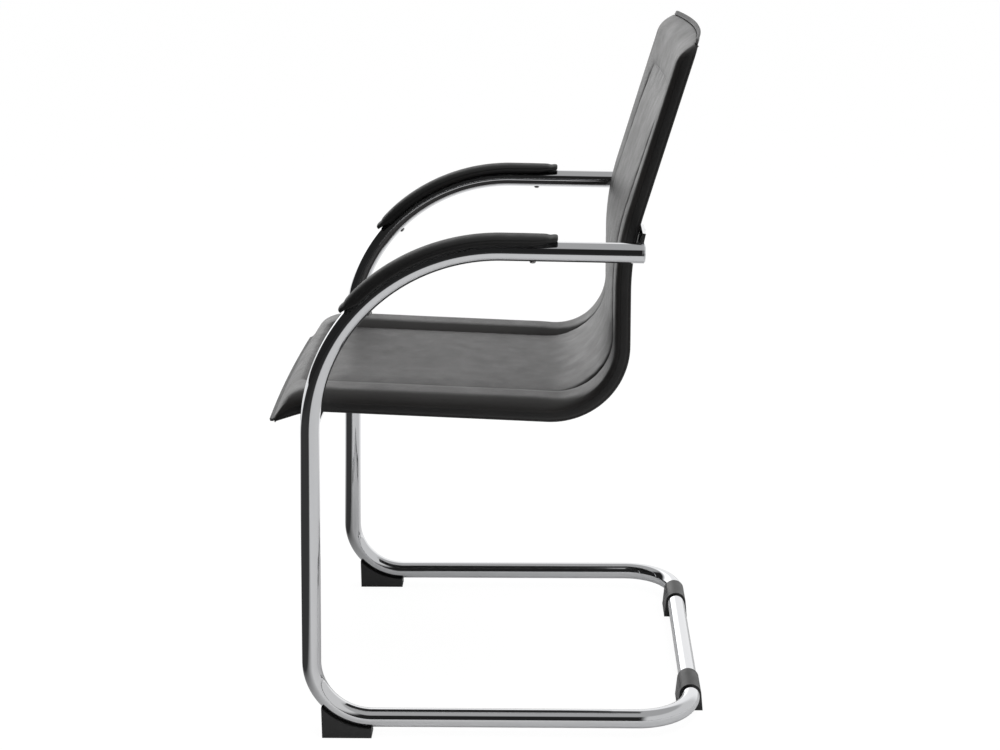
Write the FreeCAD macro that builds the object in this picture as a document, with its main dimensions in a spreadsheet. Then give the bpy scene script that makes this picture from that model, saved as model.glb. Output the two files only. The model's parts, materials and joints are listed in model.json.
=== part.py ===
"""Cantilever armchair: a bent steel tube frame carries a thin, upholstered seat-and-back shell.

Millimetres and degrees. X points to the sitter's left, Y from the front lip to the back and Z up from
the floor. The chair is symmetric about the plane X = 0, and its seat faces -Y.
"""
import FreeCAD, Part
import math
import os
import Sketcher
from FreeCAD import Placement, Rotation, Vector

# Driving dimensions: name, millimetres or degrees, meaning
SIZES = [
    ("tube_diameter", 25.4, "outer diameter of the bent tube"),
    ("tube_wall", 1.5, "wall of the bent tube"),
    ("frame_spread", 530.0, "distance between the centrelines of the two side tubes"),
    ("runner_height", 24.5, "height of the floor runner's centreline"),
    ("arm_height", 661.5, "height of the centreline at the arm's rear end"),
    ("arm_rear", 195.3, "where the arm tube ends, measured backwards"),
    ("arm_slope", 1.2, "fall of the arm towards the back, degrees"),
    ("arm_bend_radius", 245.0, "centreline radius of the bend from leg to arm"),
    ("leg_lean", 1.56, "backward lean of the leg, degrees"),
    ("foot_bend_radius", 80.0, "centreline radius of the bend from leg to runner"),
    ("foot_bend_place", -158.5, "where the foot bend's centre stands"),
    ("rear_bend_radius", 76.0, "centreline radius of the level bend behind"),
    ("cross_tube_place", 273.0, "where the rear cross tube lies"),
    ("joint_place", 162.5, "where side tube and cross tube meet, from the middle"),
    ("joint_gap", 0.6, "gap between the two tube ends inside the sleeve"),
    ("spigot_length", 44.0, "length of the inner tube that joins them"),
    ("spigot_wall", 1.5, "wall of that inner tube"),
    ("spigot_clearance", 0.15, "radial clearance of the spigot"),
    ("glide_length", 54.0, "length of a rear glide along the tube"),
    ("glide_wall", 2.4, "wall of a rear glide round the tube"),
    ("glide_base_width", 35.0, "width of a rear glide on the floor"),
    ("glide_clearance", 0.1, "radial clearance of parts clamped on the tube"),
    ("glide_edge", 0.8, "bevelled edge of the rear glides"),
    ("front_glide_front", -226.5, "front face of the front glide"),
    ("front_glide_length", 66.5, "length of the front glide"),
    ("front_glide_width", 27.0, "width of the front glide"),
    ("front_glide_saddle", 1.5, "how deep the front glide cups the tube"),
    ("glide_screw_inset", 27.0, "front glide screw, from the glide's rear face"),
    ("glide_screw_recess", 4.0, "depth of the recess for its head"),
    ("screw_diameter", 4.0, "shank of the small screws"),
    ("screw_head_diameter", 8.0, "head of the small screws"),
    ("screw_head_height", 2.4, "height of that head"),
    ("screw_clearance", 0.2, "radial clearance of every screw hole"),
    ("end_cap_height", 3.0, "head of the cap in the arm's end"),
    ("end_cap_edge", 1.6, "bevelled rim of that head"),
    ("end_cap_plug", 14.0, "length of its plug inside the tube"),
    ("pad_front_overlap", 219.0, "arm pad length round the bend"),
    ("pad_rear_overlap", 69.0, "arm pad length along the straight"),
    ("pad_width", 36.0, "greatest width of an arm pad"),
    ("pad_tip_width", 27.0, "width of an arm pad at its tips"),
    ("pad_rise", 22.0, "top of an arm pad above the tube's centreline"),
    ("pad_tip_rise", 20.4, "top of the rolled bead at its tips"),
    ("pad_tip_height", 7.0, "height of that bead"),
    ("pad_edge", 1.0, "how far a pad's lower edge is drawn in"),
    ("pad_front_lip", 6.5, "lower edge of an arm pad above the tube's centreline, in front"),
    ("pad_rear_lip", 11.5, "the same behind"),
    ("pad_front_lift", 20.0, "length over which that edge rises to the front tip"),
    ("pad_rear_lift", 21.0, "length over which it rises to the rear tip"),
    ("pad_front_taper", 52.0, "length over which an arm pad narrows to its front tip"),
    ("pad_rear_taper", 45.0, "length over which it narrows to its rear tip"),
    ("pad_screw_front", 22.0, "front arm pad screw, from the pad's tip"),
    ("pad_screw_rear", 31.0, "rear arm pad screw, from the pad's other tip"),
    ("pad_screw_bite", 5.0, "how far that screw enters the pad"),
    ("shell_half_width", 218.0, "half the width of the upholstered shell"),
    ("shell_front", -291.5, "front tip of the shell"),
    ("shell_front_height", 423.0, "height of that tip"),
    ("lip_angle", 18.0, "rise of the front lip, degrees"),
    ("lip_length", 38.0, "straight part of the front lip"),
    ("lip_radius", 100.0, "radius where the lip turns into the seat"),
    ("seat_slope", 2.6, "fall of the seat towards the back, degrees"),
    ("seat_length", 296.0, "straight part of the seat"),
    ("bend_radius", 103.0, "outer radius of the bend from seat to back"),
    ("lumbar_length", 71.0, "upright part above that bend"),
    ("lumbar_radius", 350.0, "radius over which the back leans away"),
    ("back_lean", 17.0, "lean of the back, degrees"),
    ("back_length", 228.5, "straight part of the back"),
    ("shell_thickness", 22.0, "thickness of the shell at its side edge"),
    ("tip_thickness", 5.0, "thickness of the shell at its front and top edges"),
    ("front_nose", 52.0, "length over which the face rolls to the front edge"),
    ("top_nose", 28.0, "length over which the face rolls to the top edge"),
    ("hem_length", 7.0, "width of the sewn hem at both edges"),
    ("hem_thickness", 3.2, "thickness of that hem"),
    ("corner_radius", 13.0, "rounded corners of the shell"),
    ("back_hollow", 13.0, "how far the middle of the top edge lies behind its corners"),
    ("cover_thickness", 2.0, "thickness of the rear cover and the side strips"),
    ("cover_bulge", 5.5, "how far the taut rear cover bridges the lumbar hollow"),
    ("bulge_below", 30.0, "how far before the end of the seat's bend that bridge begins"),
    ("bulge_above", 80.0, "how far beyond the leaning curve it ends"),
    ("padding_thickness", 5.4, "thickness of the padding at the side edge"),
    ("border_crown", 4.0, "crown of the padded border"),
    ("border_width", 63.0, "width of the padded border"),
    ("seam_depth", 2.2, "depth of the seam line below the side edge"),
    ("panel_crown", 4.5, "crown of the centre panel"),
    ("panel_gap", 0.3, "gap that the seam leaves round the centre panel"),
    ("panel_floor", 1.2, "thickness of the centre panel at its sewn edge"),
    ("panel_front", 72.0, "front seam of the centre panel, from the front edge"),
    ("panel_top", 78.0, "top seam of the centre panel, from the top edge"),
    ("panel_corner", 34.0, "rounded corners of the centre panel"),
    ("sewing_gap", 0.2, "gap between upholstery layers"),
    ("rail_diameter", 12.0, "round bar of the hidden shell frame"),
    ("rail_inset", 13.0, "rail centreline, from the shell's side"),
    ("rail_gap", 1.0, "gap between the rear cover and the rails"),
    ("rail_front_setback", 62.0, "rail's front end, from the front edge"),
    ("rail_top_setback", 40.0, "rail's top end, from the top edge"),
    ("bar_diameter", 10.0, "cross bars of the hidden shell frame"),
    ("web_thickness", 1.0, "suspension fabric over the hidden frame"),
    ("web_gap", 0.35, "gap between that fabric and the rails"),
    ("bracket_thickness", 4.0, "steel brackets welded to the tube"),
    ("front_bracket_width", 24.0, "width of a front bracket"),
    ("front_bracket_place", -230.0, "where a front bracket is centred"),
    ("rear_bracket_width", 38.0, "height of a rear bracket"),
    ("rear_bracket_rise", 7.0, "centre of a rear bracket above the arm's centreline"),
    ("bracket_end", 6.0, "bracket's inner end beyond the rail centreline"),
    ("bracket_corner", 5.5, "rounded corners at that end"),
    ("bracket_gap", 0.4, "least gap between bracket and rear cover"),
    ("weld_gap", 0.1, "gap between bracket and tube, filled by the weld"),
    ("bolt_diameter", 6.0, "bolts that hold the shell"),
    ("bolt_head_diameter", 12.0, "head of those bolts"),
    ("bolt_head_height", 3.6, "height of that head"),
    ("bolt_spacing", 18.0, "distance between the two bolts of a rear bracket"),
    ("bolt_tip_gap", 1.0, "gap between a bolt's tip and the end of its hole"),
]

doc = FreeCAD.newDocument("cantilever_chair")
sheet = doc.addObject("Spreadsheet::Sheet", "Sizes")
for row, (name, value, meaning) in enumerate(SIZES, start=1):
    sheet.set(f"A{row}", meaning)
    sheet.set(f"B{row}", str(value))
    sheet.setAlias(f"B{row}", name)
doc.recompute()


class Size:
    """Reads a driving dimension from the sheet by its alias."""

    def __getattr__(self, alias):
        return float(sheet.get(alias))


size = Size()
SIDES = (("left", 1), ("right", -1))
UP = Vector(0, 0, 1)
ACROSS = Vector(1, 0, 0)
tube_radius = size.tube_diameter / 2
rail_radius = size.rail_diameter / 2


# Routes: planar lines and arcs in a plane of constant X

class Route:
    """A chain of straight runs and arcs, each given as (length, turn in degrees)."""

    def __init__(self, start, heading, legs):
        self.legs = []
        point = Vector(0, *start)
        for length, turn in legs:
            self.legs.append((point, heading, length, turn))
            point, heading = self.along(point, heading, length, turn, length)
        self.length = sum(length for length, turn in legs)

    @staticmethod
    def along(point, heading, length, turn, travel):
        """Point and heading after travelling some way along one leg."""
        start = math.radians(heading)
        if turn == 0:
            return point + Vector(0, math.cos(start), math.sin(start)) * travel, heading
        radius = length / math.radians(turn)
        stop = start + travel / radius
        chord = Vector(0, math.sin(stop) - math.sin(start), math.cos(start) - math.cos(stop))
        return point + chord * radius, math.degrees(stop)

    def at(self, travel):
        """Point, direction and left-hand normal at a distance along the route."""
        left = travel
        for point, heading, length, turn in self.legs[:-1]:
            if left <= length:
                break
            left -= length
        else:
            point, heading, length, turn = self.legs[-1]
        place, angle = self.along(point, heading, length, turn, left)
        angle = math.radians(angle)
        direction = Vector(0, math.cos(angle), math.sin(angle))
        return place, direction, Vector(0, -math.sin(angle), math.cos(angle))

    def wire(self, start, stop, offset=0, x=0):
        """The stretch from start to stop as a wire, set off sideways from the route."""
        edges = []
        begin = 0
        for point, heading, length, turn in self.legs:
            low, high = max(start, begin), min(stop, begin + length)
            begin += length
            if high - low < 1e-6:
                continue
            ends = [self.offset_point(s, offset, x) for s in (low, (low + high) / 2, high)]
            if turn == 0:
                edges.append(Part.LineSegment(ends[0], ends[2]).toShape())
            else:
                edges.append(Part.Arc(*ends).toShape())
        return Part.Wire(edges)

    def offset_point(self, travel, offset, x):
        place, direction, normal = self.at(travel)
        return place + normal * offset + ACROSS * x


def arc_leg(radius, turn):
    return radius * math.radians(abs(turn)), turn


def frame_route():
    """Centreline of a side tube: runner, foot bend, leg, arm bend and arm, from back to front to back."""
    lean, slope = math.radians(size.leg_lean), math.radians(size.arm_slope)
    leg = Vector(0, math.sin(lean), math.cos(lean))
    leg_side = Vector(0, -math.cos(lean), math.sin(lean))
    arm_up = Vector(0, math.sin(slope), math.cos(slope))
    foot_centre = Vector(0, size.foot_bend_place, size.runner_height + size.foot_bend_radius)
    inner = foot_centre + leg_side * (size.foot_bend_radius - size.arm_bend_radius)
    arm_end = Vector(0, size.arm_rear, size.arm_height)
    leg_length = (-size.arm_bend_radius - (inner - arm_end).dot(arm_up)) / leg.dot(arm_up)
    arm_centre = inner + leg * leg_length
    arm_length = (arm_end - arm_centre - arm_up * size.arm_bend_radius).Length
    runner_start = size.cross_tube_place - size.rear_bend_radius
    return Route((runner_start, size.runner_height), 180, [
        (runner_start - size.foot_bend_place, 0),
        arc_leg(size.foot_bend_radius, -(90 + size.leg_lean)),
        (leg_length, 0),
        arc_leg(size.arm_bend_radius, -(90 - size.leg_lean + size.arm_slope)),
        (arm_length, 0)])


def shell_route():
    """Rear and bottom line of the shell's side, from the front edge to the top edge."""
    return Route((size.shell_front, size.shell_front_height), size.lip_angle, [
        (size.lip_length, 0),
        arc_leg(size.lip_radius, -(size.lip_angle + size.seat_slope)),
        (size.seat_length, 0),
        arc_leg(size.bend_radius, 90 + size.seat_slope),
        (size.lumbar_length, 0),
        arc_leg(size.lumbar_radius, -size.back_lean),
        (size.back_length, 0)])


tube = frame_route()
shell = shell_route()


# Helpers for bodies, sketches and plain features

def new_body(label):
    body = doc.addObject("PartDesign::Body", "Body_" + label)
    body.Label = label
    return body


def new_sketch(body, role, name, offsets, turn=0):
    """A sketch on one of the body's own origin planes; offsets maps x, y or z to an expression."""
    sketch = body.newObject("Sketcher::SketchObject", name)
    plane = next(f for f in body.Origin.OriginFeatures if f.Role == role)
    sketch.AttachmentSupport = [(plane, "")]
    sketch.MapMode = "FlatFace"
    sketch.AttachmentOffset = Placement(Vector(0, 0, 0), Rotation(UP, turn))
    for axis, expression in offsets.items():
        sketch.setExpression("AttachmentOffset.Base." + axis, expression)
    return sketch


def bind_last(sketch, expression):
    sketch.setExpression(f"Constraints[{sketch.ConstraintCount - 1}]", expression)


def circle(sketch, radius, expression):
    """A circle round the sketch's origin, its radius bound to an expression."""
    index = sketch.addGeometry(Part.Circle(Vector(0, 0, 0), UP, radius), False)
    sketch.addConstraint(Sketcher.Constraint("Coincident", index, 3, -1, 1))
    sketch.addConstraint(Sketcher.Constraint("Radius", index, radius))
    bind_last(sketch, expression)


def ring(sketch, outer, outer_expression, inner, inner_expression):
    circle(sketch, outer, outer_expression)
    circle(sketch, inner, inner_expression)


def feature(label, shape):
    item = doc.addObject("Part::Feature", label)
    item.Shape = shape
    item.Label = label
    return item


def pipe(path, radius):
    """A round bar along a wire of tangent lines and arcs."""
    solids = []
    for edge in path.OrderedEdges:
        start, direction = edge.valueAt(edge.FirstParameter), edge.tangentAt(edge.FirstParameter)
        face = Part.Face(Part.Wire(Part.Circle(start, direction, radius).toShape()))
        if isinstance(edge.Curve, Part.Line):
            solids.append(face.extrude(direction * edge.Length))
        else:
            turn = math.degrees(edge.LastParameter - edge.FirstParameter)
            solids.append(face.revolve(edge.Curve.Center, edge.Curve.Axis, turn))
    return solids[0].fuse(solids[1:]).removeSplitter().Solids[0] if len(solids) > 1 else solids[0]


def closed_wire(points, spot):
    """A closed wire: each item is a point, or a pair (middle, end) for an arc; spot places it in space."""
    edges = []
    here = points[0]
    for item in points[1:] + points[:1]:
        middle, there = item if isinstance(item[0], tuple) else (None, item)
        start, end = spot(here), spot(there)
        if middle and spot(middle).distanceToLine(start, end - start) > 1e-4:
            edges.append(Part.Arc(start, spot(middle), end).toShape())
        elif there != here:
            edges.append(Part.LineSegment(start, end).toShape())
        here = there
    return Part.Wire(edges)


def turned(points, place, direction):
    """A solid of revolution: points are (radius, height), its axis stands along a direction."""
    profile = closed_wire(points, lambda point: Vector(point[0], 0, point[1]))
    solid = Part.Face(profile).revolve(Vector(0, 0, 0), UP, 360)
    solid.Placement = Placement(place, Rotation(UP, direction))
    return solid


# Side frames

RING_OUTER = "Sizes.tube_diameter / 2"
RING_INNER = "Sizes.tube_diameter / 2 - Sizes.tube_wall"
# Turns the tube's profile so that no screw hole meets the line where its surface closes
SEAM_TURN = 45


def arm_place(travel):
    """Centreline point and the tube's outward normal, measured back from the arm's rear end."""
    place, direction, normal = tube.at(tube.length - travel)
    return place, direction, normal


def pad_screw_travel():
    """Both arm pad screws, measured back from the arm's rear end."""
    straight = tube.legs[-1][2]
    rear_tip = straight - size.pad_rear_overlap
    front_tip = straight + size.pad_front_overlap
    return rear_tip + size.pad_screw_rear, front_tip - size.pad_screw_front


def glide_screw_place():
    return size.front_glide_front + size.front_glide_length - size.glide_screw_inset


def side_path(body, side):
    """The upright centreline as a sketch of tangent lines and arcs, sized by the sheet."""
    sketch = new_sketch(body, "YZ_Plane", body.Name + "_path",
                        {"z": f"{side} * Sizes.frame_spread / 2"})
    begin = 0
    for point, heading, length, turn in tube.legs:
        ends = [tube.at(begin + share * length)[0] for share in (0, 0.5, 1)]
        flat = [Vector(p.y, p.z, 0) for p in ends]
        begin += length
        shape = Part.Arc(*flat) if turn else Part.LineSegment(flat[0], flat[2])
        sketch.addGeometry(shape, False)
    runner, foot, leg, bend, arm = range(5)
    # Clockwise arcs are stored the other way round, so an arc's end point 2 comes first here
    for line, line_end, arc, arc_end in ((runner, 2, foot, 2), (leg, 1, foot, 1),
                                         (leg, 2, bend, 2), (arm, 1, bend, 1)):
        sketch.addConstraint(Sketcher.Constraint("Tangent", line, line_end, arc, arc_end))
    sketch.addConstraint(Sketcher.Constraint("Horizontal", runner))
    dimensions = (
        (("DistanceY", -1, 1, runner, 1, size.runner_height), "Sizes.runner_height"),
        (("DistanceX", -1, 1, runner, 1, size.cross_tube_place - size.rear_bend_radius),
         "Sizes.cross_tube_place - Sizes.rear_bend_radius"),
        (("Radius", foot, size.foot_bend_radius), "Sizes.foot_bend_radius"),
        (("DistanceX", foot, 3, -1, 1, -size.foot_bend_place), "-Sizes.foot_bend_place"),
        (("Angle", leg, math.radians(90 - size.leg_lean)), "90 deg - Sizes.leg_lean * 1 deg"),
        (("Radius", bend, size.arm_bend_radius), "Sizes.arm_bend_radius"),
        (("Angle", arm, math.radians(-size.arm_slope)), "-Sizes.arm_slope * 1 deg"),
        (("DistanceX", -1, 1, arm, 2, size.arm_rear), "Sizes.arm_rear"),
        (("DistanceY", -1, 1, arm, 2, size.arm_height), "Sizes.arm_height"))
    for arguments, expression in dimensions:
        sketch.addConstraint(Sketcher.Constraint(*arguments))
        bind_last(sketch, expression)
    return sketch


def set_distance(sketch, axis, element, point, value, expression):
    """A signed horizontal or vertical distance from the sketch's origin to a point."""
    ends = (-1, 1, element, point) if value >= 0 else (element, point, -1, 1)
    sketch.addConstraint(Sketcher.Constraint("Distance" + axis, *ends, abs(value)))
    bind_last(sketch, expression if value >= 0 else f"-({expression})")


def level_path(body, side):
    """The level bend behind the runner and the short straight end that meets the cross tube."""
    sketch = new_sketch(body, "XY_Plane", body.Name + "_level_path", {"z": "Sizes.runner_height"})
    centre_x = side * (size.frame_spread / 2 - size.rear_bend_radius)
    centre_y = size.cross_tube_place - size.rear_bend_radius
    end_x = side * (size.joint_place + size.joint_gap / 2)
    radius = size.rear_bend_radius
    arc_points = [Vector(centre_x + side * radius * math.cos(a), centre_y + radius * math.sin(a), 0)
                  for a in (0, math.pi / 4, math.pi / 2)]
    bend = sketch.addGeometry(Part.Arc(*arc_points), False)
    line = sketch.addGeometry(Part.LineSegment(arc_points[2], Vector(end_x, size.cross_tube_place, 0)), False)
    first, last = (1, 2) if side > 0 else (2, 1)
    sketch.addConstraint(Sketcher.Constraint("Tangent", bend, last, line, 1))
    sketch.addConstraint(Sketcher.Constraint("Horizontal", line))
    sketch.addConstraint(Sketcher.Constraint("Radius", bend, radius))
    bind_last(sketch, "Sizes.rear_bend_radius")
    place = "Sizes.cross_tube_place - Sizes.rear_bend_radius"
    inset = "Sizes.frame_spread / 2 - Sizes.rear_bend_radius"
    set_distance(sketch, "X", bend, 3, centre_x, f"{side} * ({inset})")
    set_distance(sketch, "Y", bend, 3, centre_y, place)
    set_distance(sketch, "Y", bend, first, centre_y, place)
    set_distance(sketch, "X", line, 2, end_x, f"{side} * (Sizes.joint_place + Sizes.joint_gap / 2)")
    return sketch


def add_pipe(body, profile, path, name):
    item = body.newObject("PartDesign::AdditivePipe", body.Name + name)
    item.Profile = profile
    item.Spine = (path, [f"Edge{i + 1}" for i in range(path.GeometryCount)])
    doc.recompute()
    return item


def drill(body, name, place, direction, radius, length):
    """A round hole: radius and length are expressions, the axis starts at a place."""
    hole = body.newObject("PartDesign::SubtractiveCylinder", body.Name + name)
    plane = next(f for f in body.Origin.OriginFeatures if f.Role == "XY_Plane")
    hole.AttachmentSupport = [(plane, "")]
    hole.MapMode = "FlatFace"
    hole.AttachmentOffset = Placement(place, Rotation(UP, direction))
    hole.setExpression("Radius", radius)
    hole.setExpression("Height", length)
    return hole


HOLE_RADIUS = "Sizes.screw_diameter / 2 + Sizes.screw_clearance"


def side_frame(label, side):
    """One bent tube: arm, leg, runner and the level bend, with its screw holes."""
    body = new_body("side_frame_" + label)
    x = side * size.frame_spread / 2
    path = side_path(body, side)
    level = level_path(body, side)
    profile = new_sketch(body, "XZ_Plane", body.Name + "_ring", {
        "x": f"{side} * Sizes.frame_spread / 2",
        "y": "Sizes.runner_height",
        "z": "Sizes.rear_bend_radius - Sizes.cross_tube_place"}, SEAM_TURN)
    ring(profile, tube_radius, RING_OUTER, tube_radius - size.tube_wall, RING_INNER)
    doc.recompute()
    add_pipe(body, profile, path, "_tube")
    add_pipe(body, profile, level, "_level_tube")
    for number, travel in enumerate(pad_screw_travel()):
        place, direction, normal = arm_place(travel)
        low = place - normal * size.tube_diameter + ACROSS * x
        drill(body, f"_pad_hole_{number}", low, normal, HOLE_RADIUS, "2 * Sizes.tube_diameter")
    low = Vector(x, glide_screw_place(), 0)
    drill(body, "_glide_hole", low, UP, HOLE_RADIUS, "Sizes.runner_height")
    return body


def padded_ring(label, role, offsets, outer, inner, length):
    """A straight tube: a ring sketch padded by a length; every size is an expression."""
    body = new_body(label)
    sketch = new_sketch(body, role, body.Name + "_ring", offsets)
    circle(sketch, tube_radius, outer)
    circle(sketch, tube_radius / 2, inner)
    pad = body.newObject("PartDesign::Pad", body.Name + "_tube")
    pad.Profile = sketch
    pad.setExpression("Length", length)
    return body


def rear_cross_tube():
    return padded_ring("rear_cross_tube", "YZ_Plane", {
        "x": "Sizes.cross_tube_place",
        "y": "Sizes.runner_height",
        "z": "Sizes.joint_gap / 2 - Sizes.joint_place"},
        RING_OUTER, RING_INNER, "2 * Sizes.joint_place - Sizes.joint_gap")


def joint_spigot(label, side):
    outer = RING_INNER + " - Sizes.spigot_clearance"
    return padded_ring("joint_spigot_" + label, "YZ_Plane", {
        "x": "Sizes.cross_tube_place",
        "y": "Sizes.runner_height",
        "z": f"{side} * Sizes.joint_place - Sizes.spigot_length / 2"},
        outer, outer + " - Sizes.spigot_wall", "Sizes.spigot_length")


# Plastic glides

def bevelled_ends(body, base, size_expression, chosen):
    """Bevels the edges of a feature for which chosen(edge) is true."""
    doc.recompute()
    names = [f"Edge{i + 1}" for i, edge in enumerate(base.Shape.Edges) if chosen(edge)]
    bevel = body.newObject("PartDesign::Chamfer", body.Name + "_bevel")
    bevel.Base = (base, names)
    bevel.setExpression("Size", size_expression)
    return bevel


def rear_glide(label, side):
    """Sleeve over the joint of side tube and cross tube, with a flat base on the floor."""
    body = new_body("rear_glide_" + label)
    start = f"{side} * Sizes.joint_place - Sizes.glide_length / 2"
    sketch = new_sketch(body, "YZ_Plane", body.Name + "_outline", {"x": "Sizes.cross_tube_place", "z": start})
    radius = tube_radius + size.glide_wall
    height = size.runner_height
    half = size.glide_base_width / 2
    reach = math.hypot(half, height)
    touch = math.atan2(-height, half) + math.acos(radius / reach)
    right = Vector(radius * math.cos(touch), height + radius * math.sin(touch), 0)
    left = Vector(-right.x, right.y, 0)
    arc = sketch.addGeometry(Part.Arc(right, Vector(0, height + radius, 0), left), False)
    left_side = sketch.addGeometry(Part.LineSegment(left, Vector(-half, 0, 0)), False)
    base = sketch.addGeometry(Part.LineSegment(Vector(-half, 0, 0), Vector(half, 0, 0)), False)
    right_side = sketch.addGeometry(Part.LineSegment(Vector(half, 0, 0), right), False)
    bore = sketch.addGeometry(Part.Circle(Vector(0, height, 0), UP, tube_radius), False)
    for arguments in (("Tangent", arc, 2, left_side, 1), ("Tangent", right_side, 2, arc, 1),
                      ("Coincident", left_side, 2, base, 1), ("Coincident", base, 2, right_side, 1),
                      ("Coincident", bore, 3, arc, 3), ("PointOnObject", arc, 3, -2),
                      ("Symmetric", base, 1, base, 2, -1, 1)):
        sketch.addConstraint(Sketcher.Constraint(*arguments))
    for arguments, expression in (
            (("Radius", arc, radius), "Sizes.tube_diameter / 2 + Sizes.glide_wall"),
            (("Radius", bore, tube_radius), "Sizes.tube_diameter / 2 + Sizes.glide_clearance"),
            (("DistanceY", -1, 1, arc, 3, height), "Sizes.runner_height"),
            (("DistanceX", base, 1, base, 2, 2 * half), "Sizes.glide_base_width")):
        sketch.addConstraint(Sketcher.Constraint(*arguments))
        bind_last(sketch, expression)
    pad = body.newObject("PartDesign::Pad", body.Name + "_sleeve")
    pad.Profile = sketch
    pad.setExpression("Length", "Sizes.glide_length")
    bore_radius = tube_radius + size.glide_clearance

    def outer_end_edge(edge):
        box = edge.BoundBox
        on_bore = edge.Curve.TypeId == "Part::GeomCircle" and edge.Curve.Radius < bore_radius + 1e-3
        return box.XLength < 1e-3 and not on_bore

    bevelled_ends(body, pad, "Sizes.glide_edge", outer_end_edge)
    return body


def front_glide(label, side):
    """Wedge block that fills the space between the foot bend and the floor."""
    body = new_body("front_glide_" + label)
    sketch = new_sketch(body, "YZ_Plane", body.Name + "_outline", {"z": f"{side} * Sizes.frame_spread / 2"})
    centre = Vector(size.foot_bend_place, size.runner_height + size.foot_bend_radius, 0)
    radius = size.foot_bend_radius + tube_radius - size.front_glide_saddle
    front, rear = size.front_glide_front, size.front_glide_front + size.front_glide_length

    def top(y):
        return Vector(y, centre.y - math.sqrt(radius ** 2 - (y - centre.x) ** 2), 0)

    base = sketch.addGeometry(Part.LineSegment(Vector(front, 0, 0), Vector(rear, 0, 0)), False)
    back = sketch.addGeometry(Part.LineSegment(Vector(rear, 0, 0), top(rear)), False)
    cup = sketch.addGeometry(Part.Arc(top(rear), top((front + rear) / 2), top(front)), False)
    face = sketch.addGeometry(Part.LineSegment(top(front), Vector(front, 0, 0)), False)
    for arguments in (("Coincident", base, 2, back, 1), ("Coincident", back, 2, cup, 2),
                      ("Coincident", cup, 1, face, 1), ("Coincident", face, 2, base, 1),
                      ("Vertical", back), ("Vertical", face), ("PointOnObject", base, 1, -1),
                      ("PointOnObject", base, 2, -1)):
        sketch.addConstraint(Sketcher.Constraint(*arguments))
    for arguments, expression in (
            (("Radius", cup, radius),
             "Sizes.foot_bend_radius + Sizes.tube_diameter / 2 - Sizes.front_glide_saddle"),
            (("DistanceX", base, 1, base, 2, rear - front), "Sizes.front_glide_length")):
        sketch.addConstraint(Sketcher.Constraint(*arguments))
        bind_last(sketch, expression)
    set_distance(sketch, "X", base, 1, front, "Sizes.front_glide_front")
    set_distance(sketch, "X", cup, 3, centre.x, "Sizes.foot_bend_place")
    set_distance(sketch, "Y", cup, 3, centre.y, "Sizes.runner_height + Sizes.foot_bend_radius")
    pad = body.newObject("PartDesign::Pad", body.Name + "_block")
    pad.Profile = sketch
    pad.Midplane = True
    pad.setExpression("Length", "Sizes.front_glide_width")
    groove_sketch = new_sketch(body, "XZ_Plane", body.Name + "_cup", {
        "x": f"{side} * Sizes.frame_spread / 2",
        "y": "Sizes.runner_height",
        "z": "-Sizes.foot_bend_place"})
    circle(groove_sketch, tube_radius, "Sizes.tube_diameter / 2 + Sizes.glide_clearance")
    height = size.foot_bend_radius
    axis = groove_sketch.addGeometry(Part.LineSegment(Vector(-1, height, 0), Vector(1, height, 0)), True)
    groove_sketch.addConstraint(Sketcher.Constraint("Symmetric", axis, 1, axis, 2, -2))
    groove_sketch.addConstraint(Sketcher.Constraint("DistanceX", axis, 1, axis, 2, 2))
    groove_sketch.addConstraint(Sketcher.Constraint("DistanceY", -1, 1, axis, 1, height))
    bind_last(groove_sketch, "Sizes.foot_bend_radius")
    groove = body.newObject("PartDesign::Groove", body.Name + "_groove")
    groove.Profile = groove_sketch
    groove.ReferenceAxis = (groove_sketch, ["Axis0"])
    groove.Angle = 360
    low = Vector(side * size.frame_spread / 2, glide_screw_place(), 0)
    drill(body, "_hole", low, UP, HOLE_RADIUS, "Sizes.runner_height")
    drill(body, "_recess", low, UP, "Sizes.screw_head_diameter / 2 + Sizes.screw_clearance",
          "Sizes.glide_screw_recess")
    return body


# Screws, bolts and end caps

# Profile of a pan head, as shares of its radius and height: flat top, crown and rim
HEAD_FLAT = 0.3
HEAD_CROWN = (0.78, 0.8)
HEAD_RIM = 0.3


def screw(place, direction, shank, head, head_height, length):
    """Pan head screw: the underside of its head lies at the place, the shank runs along the direction."""
    r, k = shank / 2, head / 2
    crown = ((HEAD_CROWN[0] * k, -HEAD_CROWN[1] * head_height), (k, -HEAD_RIM * head_height))
    return turned([(0, -head_height), (HEAD_FLAT * k, -head_height), crown, (k, 0), (r, 0),
                   (r, length - r), (0, length)], place, direction)


def small_screw(place, direction, length):
    return screw(place, direction, size.screw_diameter, size.screw_head_diameter,
                 size.screw_head_height, length)


def front_glide_screws():
    """One screw up through each front glide into the wall of the tube."""
    reach = size.foot_bend_radius + tube_radius - size.tube_wall
    centre_z = size.runner_height + size.foot_bend_radius
    inside = centre_z - math.sqrt(reach ** 2 - (glide_screw_place() - size.foot_bend_place) ** 2)
    start = size.glide_screw_recess
    solids = [small_screw(Vector(side * size.frame_spread / 2, glide_screw_place(), start), UP,
                          inside + size.screw_diameter - start) for label, side in SIDES]
    return feature("front_glide_screws", Part.makeCompound(solids))


def arm_pad_screws():
    """Two screws up through each arm tube into the pad."""
    solids = []
    for label, side in SIDES:
        for travel in pad_screw_travel():
            place, direction, normal = arm_place(travel)
            start = place - normal * (tube_radius + size.glide_clearance)
            start += ACROSS * side * size.frame_spread / 2
            solids.append(small_screw(start, normal, size.tube_diameter + size.pad_screw_bite))
    return feature("arm_pad_screws", Part.makeCompound(solids))


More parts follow.
